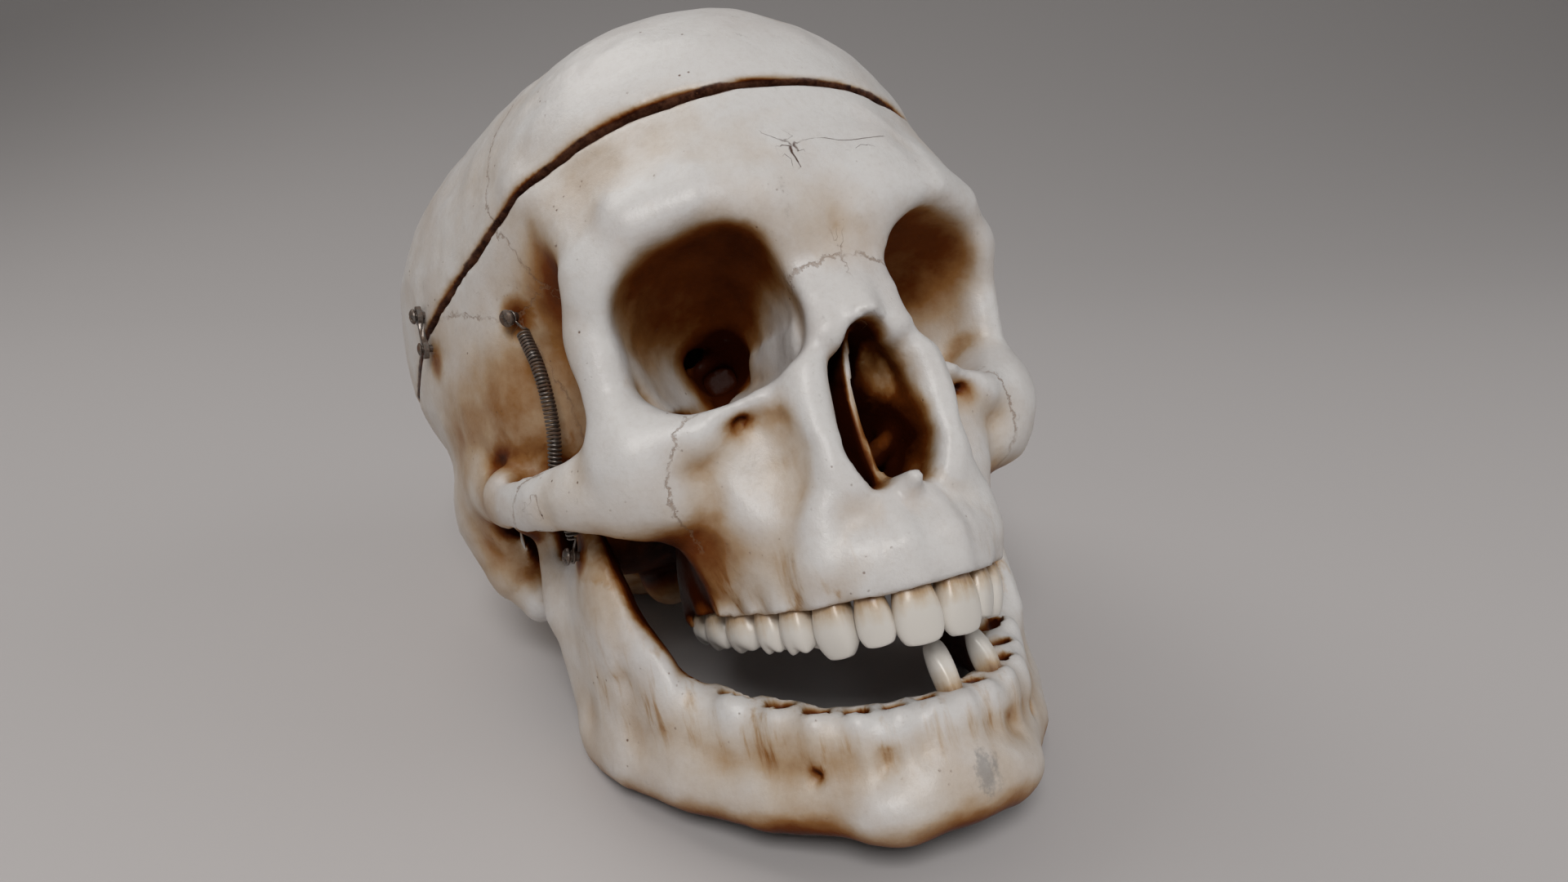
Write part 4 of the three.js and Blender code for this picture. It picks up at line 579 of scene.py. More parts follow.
def bone_mesh(name, grid, depth, most_triangles):
    """A closed skin where the distances are zero, thinned where it is smooth."""
    volume = openvdb.FloatGrid()
    volume.copyFromArray(np.pad(depth, 2, constant_values=broad))
    points, quads = volume.convertToQuads(isovalue=0.0)
    points = (points - 2) * bone_step + np.array([axis[0] for axis in grid.axes])
    label = np.arange(len(points))
    while True:
        lowest = label[quads].min(axis=1)
        joined = label.copy()
        np.minimum.at(joined, quads.ravel(), np.repeat(lowest, 4))
        joined = joined[joined]
        if np.array_equal(joined, label):
            break
        label = joined
    shell = np.bincount(label).argmax()
    quads = quads[label[quads[:, 0]] == shell]
    used, quads = np.unique(quads, return_inverse=True)
    quads = quads.reshape(-1, 4)
    matrix = np.array(head_to_world)
    points = points[used] @ matrix[:3, :3].T + matrix[:3, 3]
    points[:, 2] = np.maximum(points[:, 2], 0)
    mesh = bpy.data.meshes.new(name)
    mesh.from_pydata(points.tolist(), [], quads.tolist())
    piece = add_piece(name, mesh)
    thin = piece.modifiers.new("thin", "DECIMATE")
    thin.ratio = min(1, most_triangles / (2 * len(quads)))
    graph = bpy.context.evaluated_depsgraph_get()
    piece.data = bpy.data.meshes.new_from_object(piece.evaluated_get(graph))
    piece.data.name = name
    piece.modifiers.clear()
    piece.data.shade_smooth()
    return piece


def mesh_places(mesh):
    """Points in head millimetres, and normals in the head frame."""
    points, normals = np.empty((2, len(mesh.vertices) * 3))
    mesh.vertices.foreach_get("co", points)
    mesh.vertices.foreach_get("normal", normals)
    matrix = np.array(head_to_world.inverted())
    points = points.reshape(-1, 3) @ matrix[:3, :3].T + matrix[:3, 3]
    turn = np.array(Matrix.Rotation(lean, 3, "X"))
    return points, normals.reshape(-1, 3) @ turn.T


def shelter(points, normals, grids):
    """How far bone closes each place in, from 0 in the open to 1 in a deep hollow; the bone's
    colour darkens with it as painted shade.

    Rays leave the surface in directions spread evenly over a sphere, and near bone counts more.
    """
    count = 48
    golden_angle, start_off, fade_length = 2.399963, 1.3, 26
    solids = [grid.depth < 0 for grid in grids]
    lows = [np.array([axis[0] for axis in grid.axes]) for grid in grids]
    closed, weight = np.zeros(len(points)), np.zeros(len(points))
    for k in range(count):
        height = 1 - (2 * k + 1) / count
        around = k * golden_angle
        flat = math.sqrt(1 - height * height)
        way = np.array([flat * math.cos(around), flat * math.sin(around), height])
        facing = np.maximum(normals @ way, 0)
        free = np.ones(len(points), bool)
        for reach in (1.5, 3, 5, 7.5, 11, 16, 23, 33):
            spots = points + normals * start_off + way * reach
            for solid, low in zip(solids, lows):
                cell = np.rint((spots - low) / bone_step).astype(int)
                cell = np.clip(cell, 0, np.array(solid.shape) - 1)
                hit = solid[cell[:, 0], cell[:, 1], cell[:, 2]] & free
                closed += facing * hit * math.exp(-reach / fade_length)
                free &= ~hit
        weight += facing
    return closed / np.maximum(weight, 1e-6)


def crease_shade(points, grid, reach):
    """How hollow the surface is: the share of bone within a reach, over one half; the bone's colour
    darkens with it as painted shade in creases and hollows.
    """
    solid = np.clip(0.5 - grid.depth / bone_step, 0, 1).astype(np.float32)
    cells = max(1, int(round(reach / bone_step)))
    span = 2 * cells + 1
    for axis in range(3):
        edges = [(cells + 1, cells) if i == axis else (0, 0) for i in range(3)]
        for _ in range(2):
            total = np.cumsum(np.pad(solid, edges), axis=axis)
            upper = np.take(total, range(span, total.shape[axis]), axis=axis)
            lower = np.take(total, range(0, total.shape[axis] - span), axis=axis)
            solid = (upper - lower) / span
    twin = BoneGrid.__new__(BoneGrid)
    twin.axes, twin.depth = grid.axes, solid
    return twin.at(points) - 0.5


def line_offset(points, normals, lines, reach):
    """Signed distance along the surface from the nearest drawn line, and a share for nearness."""
    most_off_surface = 14.0
    offset, nearest = np.full(len(points), reach), np.full(len(points), reach)
    for line in lines:
        line = np.array(line, float)
        for _ in range(2):
            line = np.concatenate([line[:1], *(
                np.array([0.75 * a + 0.25 * b, 0.25 * a + 0.75 * b])
                for a, b in zip(line[:-1], line[1:])
            ), line[-1:]])
        for start, end in zip(line[:-1], line[1:]):
            along = end - start
            t = np.clip((points - start) @ along / (along @ along), 0, 1)
            off = points - start - t[:, None] * along
            depth = np.einsum("ij,ij->i", off, normals)
            off = off - depth[:, None] * normals
            far = np.where(np.abs(depth) < most_off_surface, np.linalg.norm(off, axis=1), reach)
            side = np.cross(normals, along / np.linalg.norm(along))
            signed = np.einsum("ij,ij->i", off, side)
            closer = far < nearest
            nearest[closer], offset[closer] = far[closer], signed[closer]
    return offset, np.clip(1 - nearest / reach, 0, 1)


def give(mesh, name, values):
    mesh.attributes.new(name, "FLOAT", "POINT").data.foreach_set("value", values.astype(np.float32))


# Sutures on the left side, which the right side repeats, and those in the middle.
side_sutures = [
    [
        (0, -18, 108), (17, -20, 105), (34, -27, 93), (48, -33, 74), (55.5, -38, 54),
        (53, -44.5, 47.6), (52, -46, 41.4), (49.6, -50.5, 35.8),
    ],
    [
        (50, -50, 35.5), (53, -44, 33.5), (57, -34, 34), (61, -20, 42), (64, -4, 46), (65, 12, 45),
        (65, 28, 38), (62, 42, 25), (58, 48, 16),
    ],
    [(55, -40, 33), (53, -42, 20), (50, -44, 8), (48, -43, -4)],
    [
        (0, 66, 86), (18, 74, 72), (35, 74, 57), (48, 66, 40), (57, 52, 22), (58, 48, 16),
        (57, 46, 2), (54, 40, -10),
    ],
    [(36.7, -76, -2), (39.3, -73.5, -7.7), (41, -72, -12), (40, -70, -18), (36, -66, -22)],
    [(59, -44, -3), (60, -40, -6), (60, -36, -9)],
    [(0, -88, 24), (4, -86.5, 23.5), (8, -85, 22.5)],
]
middle_sutures = [
    [(0, -18, 108), (-1, 0, 111), (0.5, 20, 111), (-0.5, 40, 105), (0, 56, 95), (0, 66, 86)],
]
right_sutures = [[(-x, y, z) for x, y, z in line] for line in side_sutures]
sutures = side_sutures + right_sutures + middle_sutures
crack_star = (-5.6, -84, 46.3)
cracks = [
    [crack_star, (-2.5, -84, 47), (1.5, -84, 47.6), (7, -84, 46.4), (14.5, -82, 47)],
    [crack_star, (-7.4, -84, 48.2), (-8.4, -84, 49)],
    [crack_star, (-5.9, -84, 43.9), (-5.8, -84, 43)],
]
# Places where the bone is kept darker or paler: middle, reach, share. Those at the screw and pin
# seats are rust; most others are painted shade in the temples, under the cheeks, in the orbits and
# in the mouth, and a few are painted light, as on the orbits' inner walls.
side_stains_and_shade = [
    ((50, -46, 22), 24, 0.3), ((48, -52, 37), 13, 0.3), ((60, -25, 19), 17, 0.34),
    ((65, -6, 18), 15, 0.26), ((66, 6, 8), 20, 0.1), ((62, -4, -14), 16, 0.34),
    ((64, 14, -18), 14, 0.26), ((62, -20, 0), 12, 0.3), ((56, -52, -4), 14, 0.16),
    ((36, -46, -22), 23, 0.6), ((31, -68, -26), 8, 0.1), ((21, -82, -18), 15, -0.2),
    ((50, -58, 50), 16, 0.08), ((53.7, -37.8, 34), 5.5, 0.55), ((50.2, -34.6, -19), 5, 0.5),
    ((66.5, -1, 37), 6, 0.5), ((47, -20, -62), 18, 0.26), ((48, -34, -10), 9, 0.25),
    ((26.5, -80, -7), 5, 0.3), ((45, -30, 70), 30, 0.04), ((12, -38, 16), 13, 0.75),
    ((22, -8, -24), 24, 0.6), ((28, -60, -3), 7, 0.2), ((12, -66, 9), 17, -0.5),
    ((36, -72, -12), 12, -0.05), ((28.5, -70.3, -62), 10, 0.1), ((20, -76.6, -64.3), 9, 0.1),
    ((35, -61, -57.5), 8, -0.12), ((30, -66, -82), 13, 0.2), ((26, -58, -74), 32, 0.1),
    ((35, -71, 53), 14, 0.12), ((20, -86, 36), 7, 0.06),
]
middle_stains_and_shade = [
    ((0, -40, -28), 37, 0.9), ((0, -20, 10), 28, 0.3), ((0, -60, -2), 17, 0.45),
    ((0, -84, -86), 15, 0.16), ((0, 40, -40), 45, 0.35), ((0, -88, 64), 24, -0.05),
    ((0, -88, 31), 10, 0.12), ((0, -80, -10), 13, 0.75), ((0, -96, -34), 22, -0.14),
    ((0, -90, 10), 14, -0.06), ((0, -56, -70), 75, 0.14),
]
right_stains_and_shade = [((-x, y, z), reach, share) for (x, y, z), reach, share in side_stains_and_shade]
stains_and_shade = side_stains_and_shade + right_stains_and_shade + middle_stains_and_shade
rubbed_spot, rubbed_reach = (2, -86, -77), (4.5, 12, 7)
crack_width, star_width, star_reach = 0.45, 2.4, 3.6
sawn_height = 1.1
painted_light_side = np.array([0.05, -0.6, 0.8])
brain_middle = (0, -38, 0)
gum_lines = [[(side * x, y, z - 1) for x, y, z, *_ in upper_teeth.values()] for side in (-1, 1)]


def dress_bone(piece, own, others, inside=None, gums=(), inner_shade=0.0):
    """Write what the bone's colour depends on into the mesh, as a value at each point, painted
    shade among it.
    """
    points, normals = mesh_places(piece.data)
    # Painted shade: the colour darkens where bone closes a place in. It is weaker in the orbits and
    # held even inside the brain's space.
    closed = shelter(points, normals, [own, *others])
    orbit_rise, in_orbit = orbit_height(points)
    closed *= 1 - 0.5 * in_orbit
    if inside is not None:
        closed = np.where(inside.at(points) < inner_skin, 0.26 + 0.16 * closed, closed)
    give(piece.data, "closed", closed)
    # Painted shade in narrow creases and in broad hollows.
    give(piece.data, "crease_shade", crease_shade(points, own, 3.0))
    give(piece.data, "hollow", crease_shade(points, own, 9.0))
    offset, near = line_offset(points, normals, sutures, 6.0)
    give(piece.data, "suture", offset)
    give(piece.data, "suture_near", near)
    offset, near = line_offset(points, normals, cracks, 3.0)
    from_star = np.linalg.norm((points - crack_star)[:, [0, 2]], axis=1)
    width = crack_width + star_width * np.clip(1 - from_star / star_reach, 0, 1)
    give(piece.data, "crack", offset / width)
    give(piece.data, "crack_near", near)
    _, near = line_offset(points, normals, gums, 16.0)
    give(piece.data, "gum_near", near)
    # Painted shade: faces that turn away from the light, which comes from above and in front of the
    # face, are darker. In the orbits the roof is painted darker and the floor paler.
    browned_and_shaded = 0.2 * (1 - normals @ painted_light_side) - 0.04
    browned_and_shaded += in_orbit * np.where(orbit_rise > 0, 0.27, 0.1) * orbit_rise
    for middle, reach, share in stains_and_shade:
        far = np.linalg.norm(points - middle, axis=1)
        browned_and_shaded += share * np.clip(1 - far / reach, 0, 1) ** 0.8
    # Painted shade on the jaw: faces that turn in towards the mouth and faces that look down are
    # darker.
    if inner_shade:
        out = points - brain_middle
        out[:, 2] = 0
        out /= np.linalg.norm(out, axis=1)[:, None] + 1e-6
        facing_in = -np.einsum("ij,ij->i", out, normals)
        browned_and_shaded += inner_shade * np.clip(facing_in + 0.1, 0, 1)
        browned_and_shaded += 0.5 * np.clip(-normals[:, 2] - 0.2, 0, 1)
    give(piece.data, "browned_and_shaded", browned_and_shaded)
    from_cut = np.abs(above_cut(points[:, 1], points[:, 2]))
    give(piece.data, "sawn", np.clip(2 - from_cut / sawn_height, 0, 1))
    from_rub = np.linalg.norm((points - rubbed_spot) / rubbed_reach, axis=1)
    give(piece.data, "rubbed", np.clip(1 - from_rub, 0, 1))


def add_node(tree, kind, links=(), **values):
    node = tree.nodes.new(kind)
    for key, value in values.items():
        if key.startswith("in_"):
            key = key[3:]
            node.inputs[int(key) if key.isdigit() else key.replace("_", " ")].default_value = value
        else:
            setattr(node, key, value)
    for name, source in links:
        tree.links.new(source, node.inputs[name])
    return node


def sum_of(tree, terms, start=0.0):
    """A socket that holds start plus each socket times its share."""
    total = None
    for socket, share in terms:
        node = add_node(tree, "ShaderNodeMath", [(0, socket)], operation="MULTIPLY_ADD", in_1=share)
        if total is None:
            node.inputs[2].default_value = start
        else:
            tree.links.new(total, node.inputs[2])
        total = node.outputs[0]
    return total


def product(tree, first, second):
    node = add_node(tree, "ShaderNodeMath", [(0, first), (1, second)], operation="MULTIPLY")
    return node.outputs[0]


def spread(tree, socket, low, high, to_low=0.0, to_high=1.0):
    node = add_node(
        tree, "ShaderNodeMapRange", [(0, socket)], interpolation_type="SMOOTHSTEP",
        in_1=low, in_2=high, in_3=to_low, in_4=to_high,
    )
    return node.outputs[0]


def ramp_of(tree, socket, rows):
    node = add_node(tree, "ShaderNodeValToRGB", [(0, socket)])
    stops = node.color_ramp.elements
    stops.remove(stops[1])
    for i, (position, colour) in enumerate(rows):
        stop = stops.new(position) if i else stops[0]
        stop.position, stop.color = position, (*colour, 1)
    return node.outputs[0]


def blend_colour(tree, share, first, second, kind="MIX"):
    node = tree.nodes.new("ShaderNodeMix")
    node.data_type, node.blend_type = "RGBA", kind
    tree.links.new(share, node.inputs[0])
    for index, colour in ((6, first), (7, second)):
        if isinstance(colour, tuple):
            node.inputs[index].default_value = (*colour, 1)
        else:
            tree.links.new(colour, node.inputs[index])
    return node.outputs[2]


def start_material(name):
    material = bpy.data.materials.new(name)
    material.use_nodes = True
    tree = material.node_tree
    tree.nodes.clear()
    shader = tree.nodes.new("ShaderNodeBsdfPrincipled")
    output = tree.nodes.new("ShaderNodeOutputMaterial")
    tree.links.new(shader.outputs[0], output.inputs[0])
    coordinates = tree.nodes.new("ShaderNodeTexCoord")
    place = add_node(tree, "ShaderNodeMapping", [("Vector", coordinates.outputs["Object"])])
    place.inputs["Scale"].default_value = [1 / metres_per_mm] * 3
    place.inputs["Rotation"].default_value = (lean, 0, 0)
    place.inputs["Location"].default_value = head_to_world.inverted().translation
    return material, tree, shader, place.outputs[0]


def noise(tree, place, size, detail=4.0, rough=0.6, seed=0.0):
    node = add_node(
        tree, "ShaderNodeTexNoise", [("Vector", place)], noise_dimensions="4D",
        in_W=seed, in_Scale=1 / size, in_Detail=detail, in_Roughness=rough,
    )
    return node.outputs[0]


def streaks_of(tree, place, length_share, size, detail, seed):
    """Noise drawn out along the head's height."""
    stretched = add_node(tree, "ShaderNodeMapping", [("Vector", place)])
    stretched.inputs["Scale"].default_value = (1, 1, length_share)
    return noise(tree, stretched.outputs[0], size, detail, 0.6, seed)


def attribute(tree, name):
    return add_node(tree, "ShaderNodeAttribute", attribute_name=name).outputs["Fac"]


def roughen_shader(tree, shader, height, strength, distance):
    bump = add_node(
        tree, "ShaderNodeBump", [("Height", height)], in_Strength=strength, in_Distance=distance,
    )
    tree.links.new(bump.outputs[0], shader.inputs["Normal"])


bone, tree, shader, place = start_material("bone")
patches = noise(tree, place, 38.0, 3.0, 0.55, 1.0)
mottle = noise(tree, place, 9.0, 6.0, 0.68, 2.0)
grain = noise(tree, place, 1.3, 5.0, 0.7, 3.0)
streaks = streaks_of(tree, place, 0.13, 2.6, 4.0, 4.0)
streak_share = product(tree, spread(tree, streaks, 0.5, 0.72), attribute(tree, "gum_near"))
# Painted shade: the bone darkens in hollows and creases and on faces that turn from the light, on
# top of patches, mottle and streaks.
darkening = sum_of(tree, [
    (attribute(tree, "closed"), 1.3), (attribute(tree, "crease_shade"), 1.1),
    (attribute(tree, "hollow"), 0.16), (attribute(tree, "browned_and_shaded"), 1.0), (patches, 0.5),
    (mottle, 0.28), (streak_share, 0.3),
], -0.33)
colour = ramp_of(tree, darkening, (
    (0.0, (0.69, 0.675, 0.662)), (0.11, (0.655, 0.612, 0.572)), (0.25, (0.58, 0.495, 0.41)),
    (0.39, (0.45, 0.305, 0.18)), (0.52, (0.29, 0.13, 0.038)), (0.67, (0.15, 0.036, 0.005)),
    (0.90, (0.035, 0.006, 0.001)),
))
cloudy = spread(tree, noise(tree, place, 21.0, 5.0, 0.6, 7.0), 0.38, 0.7, 0.0, 0.55)
colour = blend_colour(tree, cloudy, colour, (0.88, 0.84, 0.825), "MULTIPLY")

wobble = noise(tree, place, 3.2, 5.0, 0.75, 5.0)
broken = spread(tree, noise(tree, place, 6.0, 3.0, 0.6, 6.0), 0.32, 0.58, 0.15, 1.0)


def line_share(name, wobbles, thin, thick):
    """Where a drawn line shows: dark at its middle, broken up along its length."""
    bent = sum_of(tree, [(wobble, wobbles), (attribute(tree, name), 1.0)], -wobbles / 2)
    off = add_node(tree, "ShaderNodeMath", [(0, bent)], operation="ABSOLUTE").outputs[0]
    dark = spread(tree, off, thin, thick, 1.0, 0.0)
    near = spread(tree, attribute(tree, name + "_near"), 0.05, 0.35)
    return product(tree, product(tree, dark, near), broken)


suture_share = line_share("suture", 6.5, 0.05, 0.45)
crack_share = line_share("crack", 0.8, 0.05, 0.3)
colour = blend_colour(tree, sum_of(tree, [(suture_share, 0.62)]), colour, (0.26, 0.15, 0.085))
colour = blend_colour(tree, crack_share, colour, (0.07, 0.026, 0.012))
rub = sum_of(tree, [(attribute(tree, "rubbed"), 0.75), (streaks, 1.1), (grain, 0.9)], -1.0)
colour = blend_colour(tree, spread(tree, rub, 0.2, 0.55, 0.0, 0.5), colour, (0.17, 0.17, 0.175))
# Painted shade: along the saw cut the colour goes dark brown to near black, partly dirt on the sawn
# rims and partly the gap's shade.
sawn = sum_of(tree, [(attribute(tree, "sawn"), 1.0), (mottle, 0.9)], -0.45)
sawn_dirt_and_shade = blend_colour(
    tree, spread(tree, wobble, 0.35, 0.68), (0.028, 0.009, 0.006), (0.15, 0.062, 0.034),
)
colour = blend_colour(tree, spread(tree, sawn, 0.55, 0.95), colour, sawn_dirt_and_shade)
pores = add_node(
    tree, "ShaderNodeTexVoronoi", [("Vector", place)], feature="F1", in_Scale=1 / 2.3,
    in_Randomness=1.0,
).outputs["Distance"]
pore_share = product(
    tree, spread(tree, pores, 0.05, 0.16, 1.0, 0.0), spread(tree, mottle, 0.52, 0.66),
)
colour = blend_colour(tree, pore_share, colour, (0.14, 0.06, 0.025))
grainy = spread(tree, grain, 0.4, 0.8, 0.0, 0.14)
colour = blend_colour(tree, grainy, colour, (0.5, 0.4, 0.3), "MULTIPLY")
tree.links.new(colour, shader.inputs["Base Color"])
shader.inputs["Roughness"].default_value = 0.38
sheen = spread(tree, darkening, 0.3, 0.65, 0.45, 0.06)
tree.links.new(sheen, shader.inputs["Specular IOR Level"])
roughen_shader(tree, shader, sum_of(tree, [
    (grain, 0.35), (mottle, 0.6), (suture_share, -0.5), (crack_share, -0.5), (pore_share, -0.5),
]), 0.55, 0.0006)


def keep_bone(piece, body, node):
    piece.data.materials.append(bone)
    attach(piece, body)
    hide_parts(node)


cranium_triangles, cap_triangles, jaw_triangles = 190000, 120000, 110000
cranium = bone_mesh("cranium_bone", head, cranium_depth, cranium_triangles)

# Skull cap. It is the dome sawn off the same bone, so its rim repeats the cranium's, and it sits a
# little ajar on two dowels. The saw has left both rims rough, and the band along the seam is
# painted dark brown to near black, partly as dirt on the rims and partly as painted shade of the
# gap.
skull_cap = bone_mesh("skull_cap_bone", head, cap_depth, cap_triangles)

# Lower jaw. One bone like the cranium: two rising branches with the joint heads and the tips that
# the springs pull on, and a body that carries the tooth sockets, all but two of them empty.
jaw = BoneGrid([0, -102, -98], [66, 12, 8])
for form in ramus_forms():
    jaw.add(form, snug)
jaw.add(ridge([
    [0.67, -0.22, -0.575, 0.086], [0.65, -0.365, -0.63, 0.086], [0.565, -0.52, -0.685, 0.086],
    [0.415, -0.68, -0.74, 0.086], [0.23, -0.8, -0.775, 0.093], [0, -0.84, -0.79, 0.1],
]), soft)
jaw.add(ridge([
    [0.645, -0.345, -0.54, 0.08], [0.55, -0.5, -0.61, 0.083], [0.42, -0.65, -0.66, 0.08],
    [0.245, -0.8, -0.7, 0.074], [0, -0.86, -0.71, 0.074],
], (0.95, 0.95, 1.5)), soft)
jaw.add(ridge([
    [0.615, -0.42, -0.5, 0.077], [0.515, -0.535, -0.555, 0.08], [0.42, -0.655, -0.6, 0.074],
    [0.315, -0.78, -0.64, 0.066], [0.155, -0.865, -0.66, 0.063], [0, -0.89, -0.665, 0.063],
]), snug)
jaw.add(ball([[0, -0.9, -0.78], [0.155, 0.055, 0.07]]), soft)
jaw.add(ball([[0.17, -0.855, -0.8], [0.115, 0.067, 0.055]]), soft)

# Places of the lower sockets on the left side: x, y, the rim's height, turn, width and depth.
lower_sockets = (
    (2.98, -79.61, -61.99, 8.02, 3.82, 4.2), (9.16, -78.46, -61.75, 16.65, 4.19, 4.32),
    (15.44, -75.44, -60.96, 31.98, 4.8, 5.16), (21.34, -70.9, -59.62, 43.46, 4.93, 5.04),
    (25.84, -65.07, -57.39, 59.12, 5.05, 5.28), (30.46, -57.26, -54.09, 58.31, 7.52, 6.12),
    (35.95, -48.31, -49.98, 57.26, 7.27, 6), (41.49, -40.09, -45.79, 55.56, 6.78, 5.76),
)
for x, y, z, turn, width, _ in lower_sockets:
    out = np.array([math.sin(math.radians(turn)), -math.cos(math.radians(turn)), 0])
    start, end = np.array([x, y, z - 2]) + out * 2.6, np.array([x, y, z - 13]) + out * 2.4
    jaw.add(bar([start, end], [width * 0.44, width * 0.2]), crisp)
jaw.cut(bar([[25.2, -72.8, -71], [24.4, -71.8, -70.8]], [0.9, 0.6]), crisp)
jaw.unfold()
roughen(jaw, 31)
left_incisor, left_canine = lower_sockets[0], lower_sockets[2]
filled_depth, empty_depth = 1.5, 6.5
for side in (-1, 1):
    for socket in lower_sockets:
        x, y, z, turn, width, depth = socket
        filled = side == 1 and socket in (left_incisor, left_canine)
        deep = filled_depth if filled else empty_depth
        spot = np.array([side * x, y, z + 0.4]) / half
        reach = np.array([width * 0.5, depth * 0.5, deep]) / half
        jaw.cut(ball((spot, reach), side * turn), 0.8)
lower_jaw = bone_mesh("lower_jaw_bone", jaw, jaw.depth, jaw_triangles)
lower_gums = [[(side * x, y, z) for x, y, z, *_ in lower_sockets] for side in (-1, 1)]

# The painted shade in the colour depends on how all three bones stand to each other, so they are
# dressed once all are made.
dress_bone(cranium, head, [jaw], space, gum_lines)
dress_bone(skull_cap, head, [], space)
dress_bone(lower_jaw, jaw, [head], None, lower_gums, 0.55)
keep_bone(cranium, "cranium", "cranium")
keep_bone(skull_cap, "skull_cap", "skull_cap")
keep_bone(lower_jaw, "jaw", "lower_jaw")

# Teeth. Real enamel crowns on roots that are pushed into the bone's sockets. The crowns are cream
# and worn, brown where they meet the bone, and no two stand quite alike.
# Each form has rows of height from the root's tip, 1, to the biting edge, -1, width and depth.
incisor = [
    (1, 0.35, 0.4), (0.5, 0.62, 0.68), (0, 0.82, 0.82), (-0.15, 0.94, 0.97), (-0.4, 1.04, 0.92),
    (-0.7, 1.07, 0.68), (-0.9, 1.01, 0.48), (-1, 0.8, 0.36),
]
canine_form = [
    (1, 0.35, 0.4), (0.5, 0.64, 0.7), (0, 0.83, 0.86), (-0.15, 0.96, 1), (-0.4, 1.05, 0.95),
    (-0.7, 1.04, 0.76), (-0.9, 0.92, 0.56), (-1, 0.66, 0.36),
]
lower_form = [
    (1, 0.35, 0.4), (0.5, 0.7, 0.7), (0, 0.78, 0.82), (-0.3, 0.84, 0.9), (-0.6, 0.92, 0.78),
    (-0.85, 0.98, 0.5), (-1, 0.86, 0.3),
]
molar = [
    (1, 0.5, 0.5), (0.4, 0.72, 0.76), (0, 0.83, 0.86), (-0.3, 1, 0.98), (-0.6, 1.04, 1),
    (-0.85, 0.99, 0.9), (-1, 0.8, 0.66),
]
roundness, edge_start, edge_sag, cusp_height = 2.6, -0.99, 0.7, 0.9


def mesh_of(name, shape):
    mesh = bpy.data.meshes.new(name)
    shape.to_mesh(mesh)
    shape.free()
    return mesh


def tooth_mesh(name, rows, width, depth, crown, root, cusps=0.0):
    """A tooth that points down -z with its neck at z = 0, in millimetres."""
    heights, widths, depths = np.array(rows)[::-1].T
    shape = bmesh.new()
    bmesh.ops.create_cube(shape, size=2)
    bmesh.ops.subdivide_edges(shape, edges=shape.edges[:], cuts=7, use_grid_fill=True)
    for vert in shape.verts:
        x, y, z = vert.co
        flat = max(abs(x), abs(y))
        ring = (abs(x) ** roundness + abs(y) ** roundness) ** (1 / roundness)
        if ring > 0:
            x, y = x * flat / ring, y * flat / ring
        x, y = x * np.interp(z, heights, widths), y * np.interp(z, heights, depths)
        rise = z * (root if z > 0 else crown)
        if z < edge_start and cusps:
            bump = abs(math.sin(math.pi * min(abs(x), 1)) * math.sin(math.pi * min(abs(y), 1)))
            rise += cusps * (0.75 - 1.3 * bump)
        elif z < edge_start:
            rise += edge_sag * abs(x) ** 2
        vert.co = (x * width / 2, y * depth / 2, rise)
    return mesh_of(name, shape)


def add_tooth(name, node, body, mesh, matrix, reach):
    give(mesh, "neck", np.array([v.co.z / reach for v in mesh.vertices]))
    mesh.transform(matrix)
    mesh.transform(head_to_world)
    if matrix.determinant() < 0:
        mesh.flip_normals()
    mesh.shade_smooth()
    piece = add_piece(name, mesh)
    smooth = piece.modifiers.new("smooth", "SUBSURF")
    smooth.levels = smooth.render_levels = 1
    mesh.materials.append(enamel)
    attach(piece, body)
    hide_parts(node)


enamel, tree, shader, place = start_material("enamel")
mottle = noise(tree, place, 4.0, 5.0, 0.6, 8.0)
streaks = streaks_of(tree, place, 0.18, 1.6, 3.0, 9.0)
darkening = sum_of(tree, [(attribute(tree, "neck"), 1.1), (mottle, 0.4), (streaks, 0.4)], 0.1)
tree.links.new(ramp_of(tree, darkening, (
    (0.0, (0.70, 0.665, 0.615)), (0.25, (0.64, 0.56, 0.465)), (0.42, (0.47, 0.33, 0.20)),
    (0.58, (0.24, 0.12, 0.05)), (0.8, (0.09, 0.032, 0.012)),
)), shader.inputs["Base Color"])
shader.inputs["Roughness"].default_value = 0.3
shader.inputs["Specular IOR Level"].default_value = 0.5
roughen_shader(tree, shader, mottle, 0.3, 0.0003)

draw = np.random.default_rng(7)
for side, word in ((-1, "right"), (1, "left")):
    for kind, (x, y, z, turn, width, depth, crown) in upper_teeth.items():
        rows = incisor if "incisor" in kind else canine_form if kind == "canine" else molar
        cusps = cusp_height if rows is molar else 0.0
        mesh = tooth_mesh("tooth_" + kind, rows, width * 1.05, depth, crown - 0.15, 8, cusps)
        lean_in, roll, shift = draw.normal(0, 1.6), draw.normal(0, 1.3), draw.normal(0, 0.12)
        matrix = (
            Matrix.Translation((side * x, y, z + shift))
            @ Matrix.Rotation(math.radians(side * turn), 4, "Z")
            @ Matrix.Rotation(math.radians(lean_in), 4, "X")
            @ Matrix.Rotation(math.radians(roll), 4, "Y")
        )
        add_tooth(f"{word}_{kind}_tooth", f"upper_{word}_{kind}", "cranium", mesh, matrix, 10)

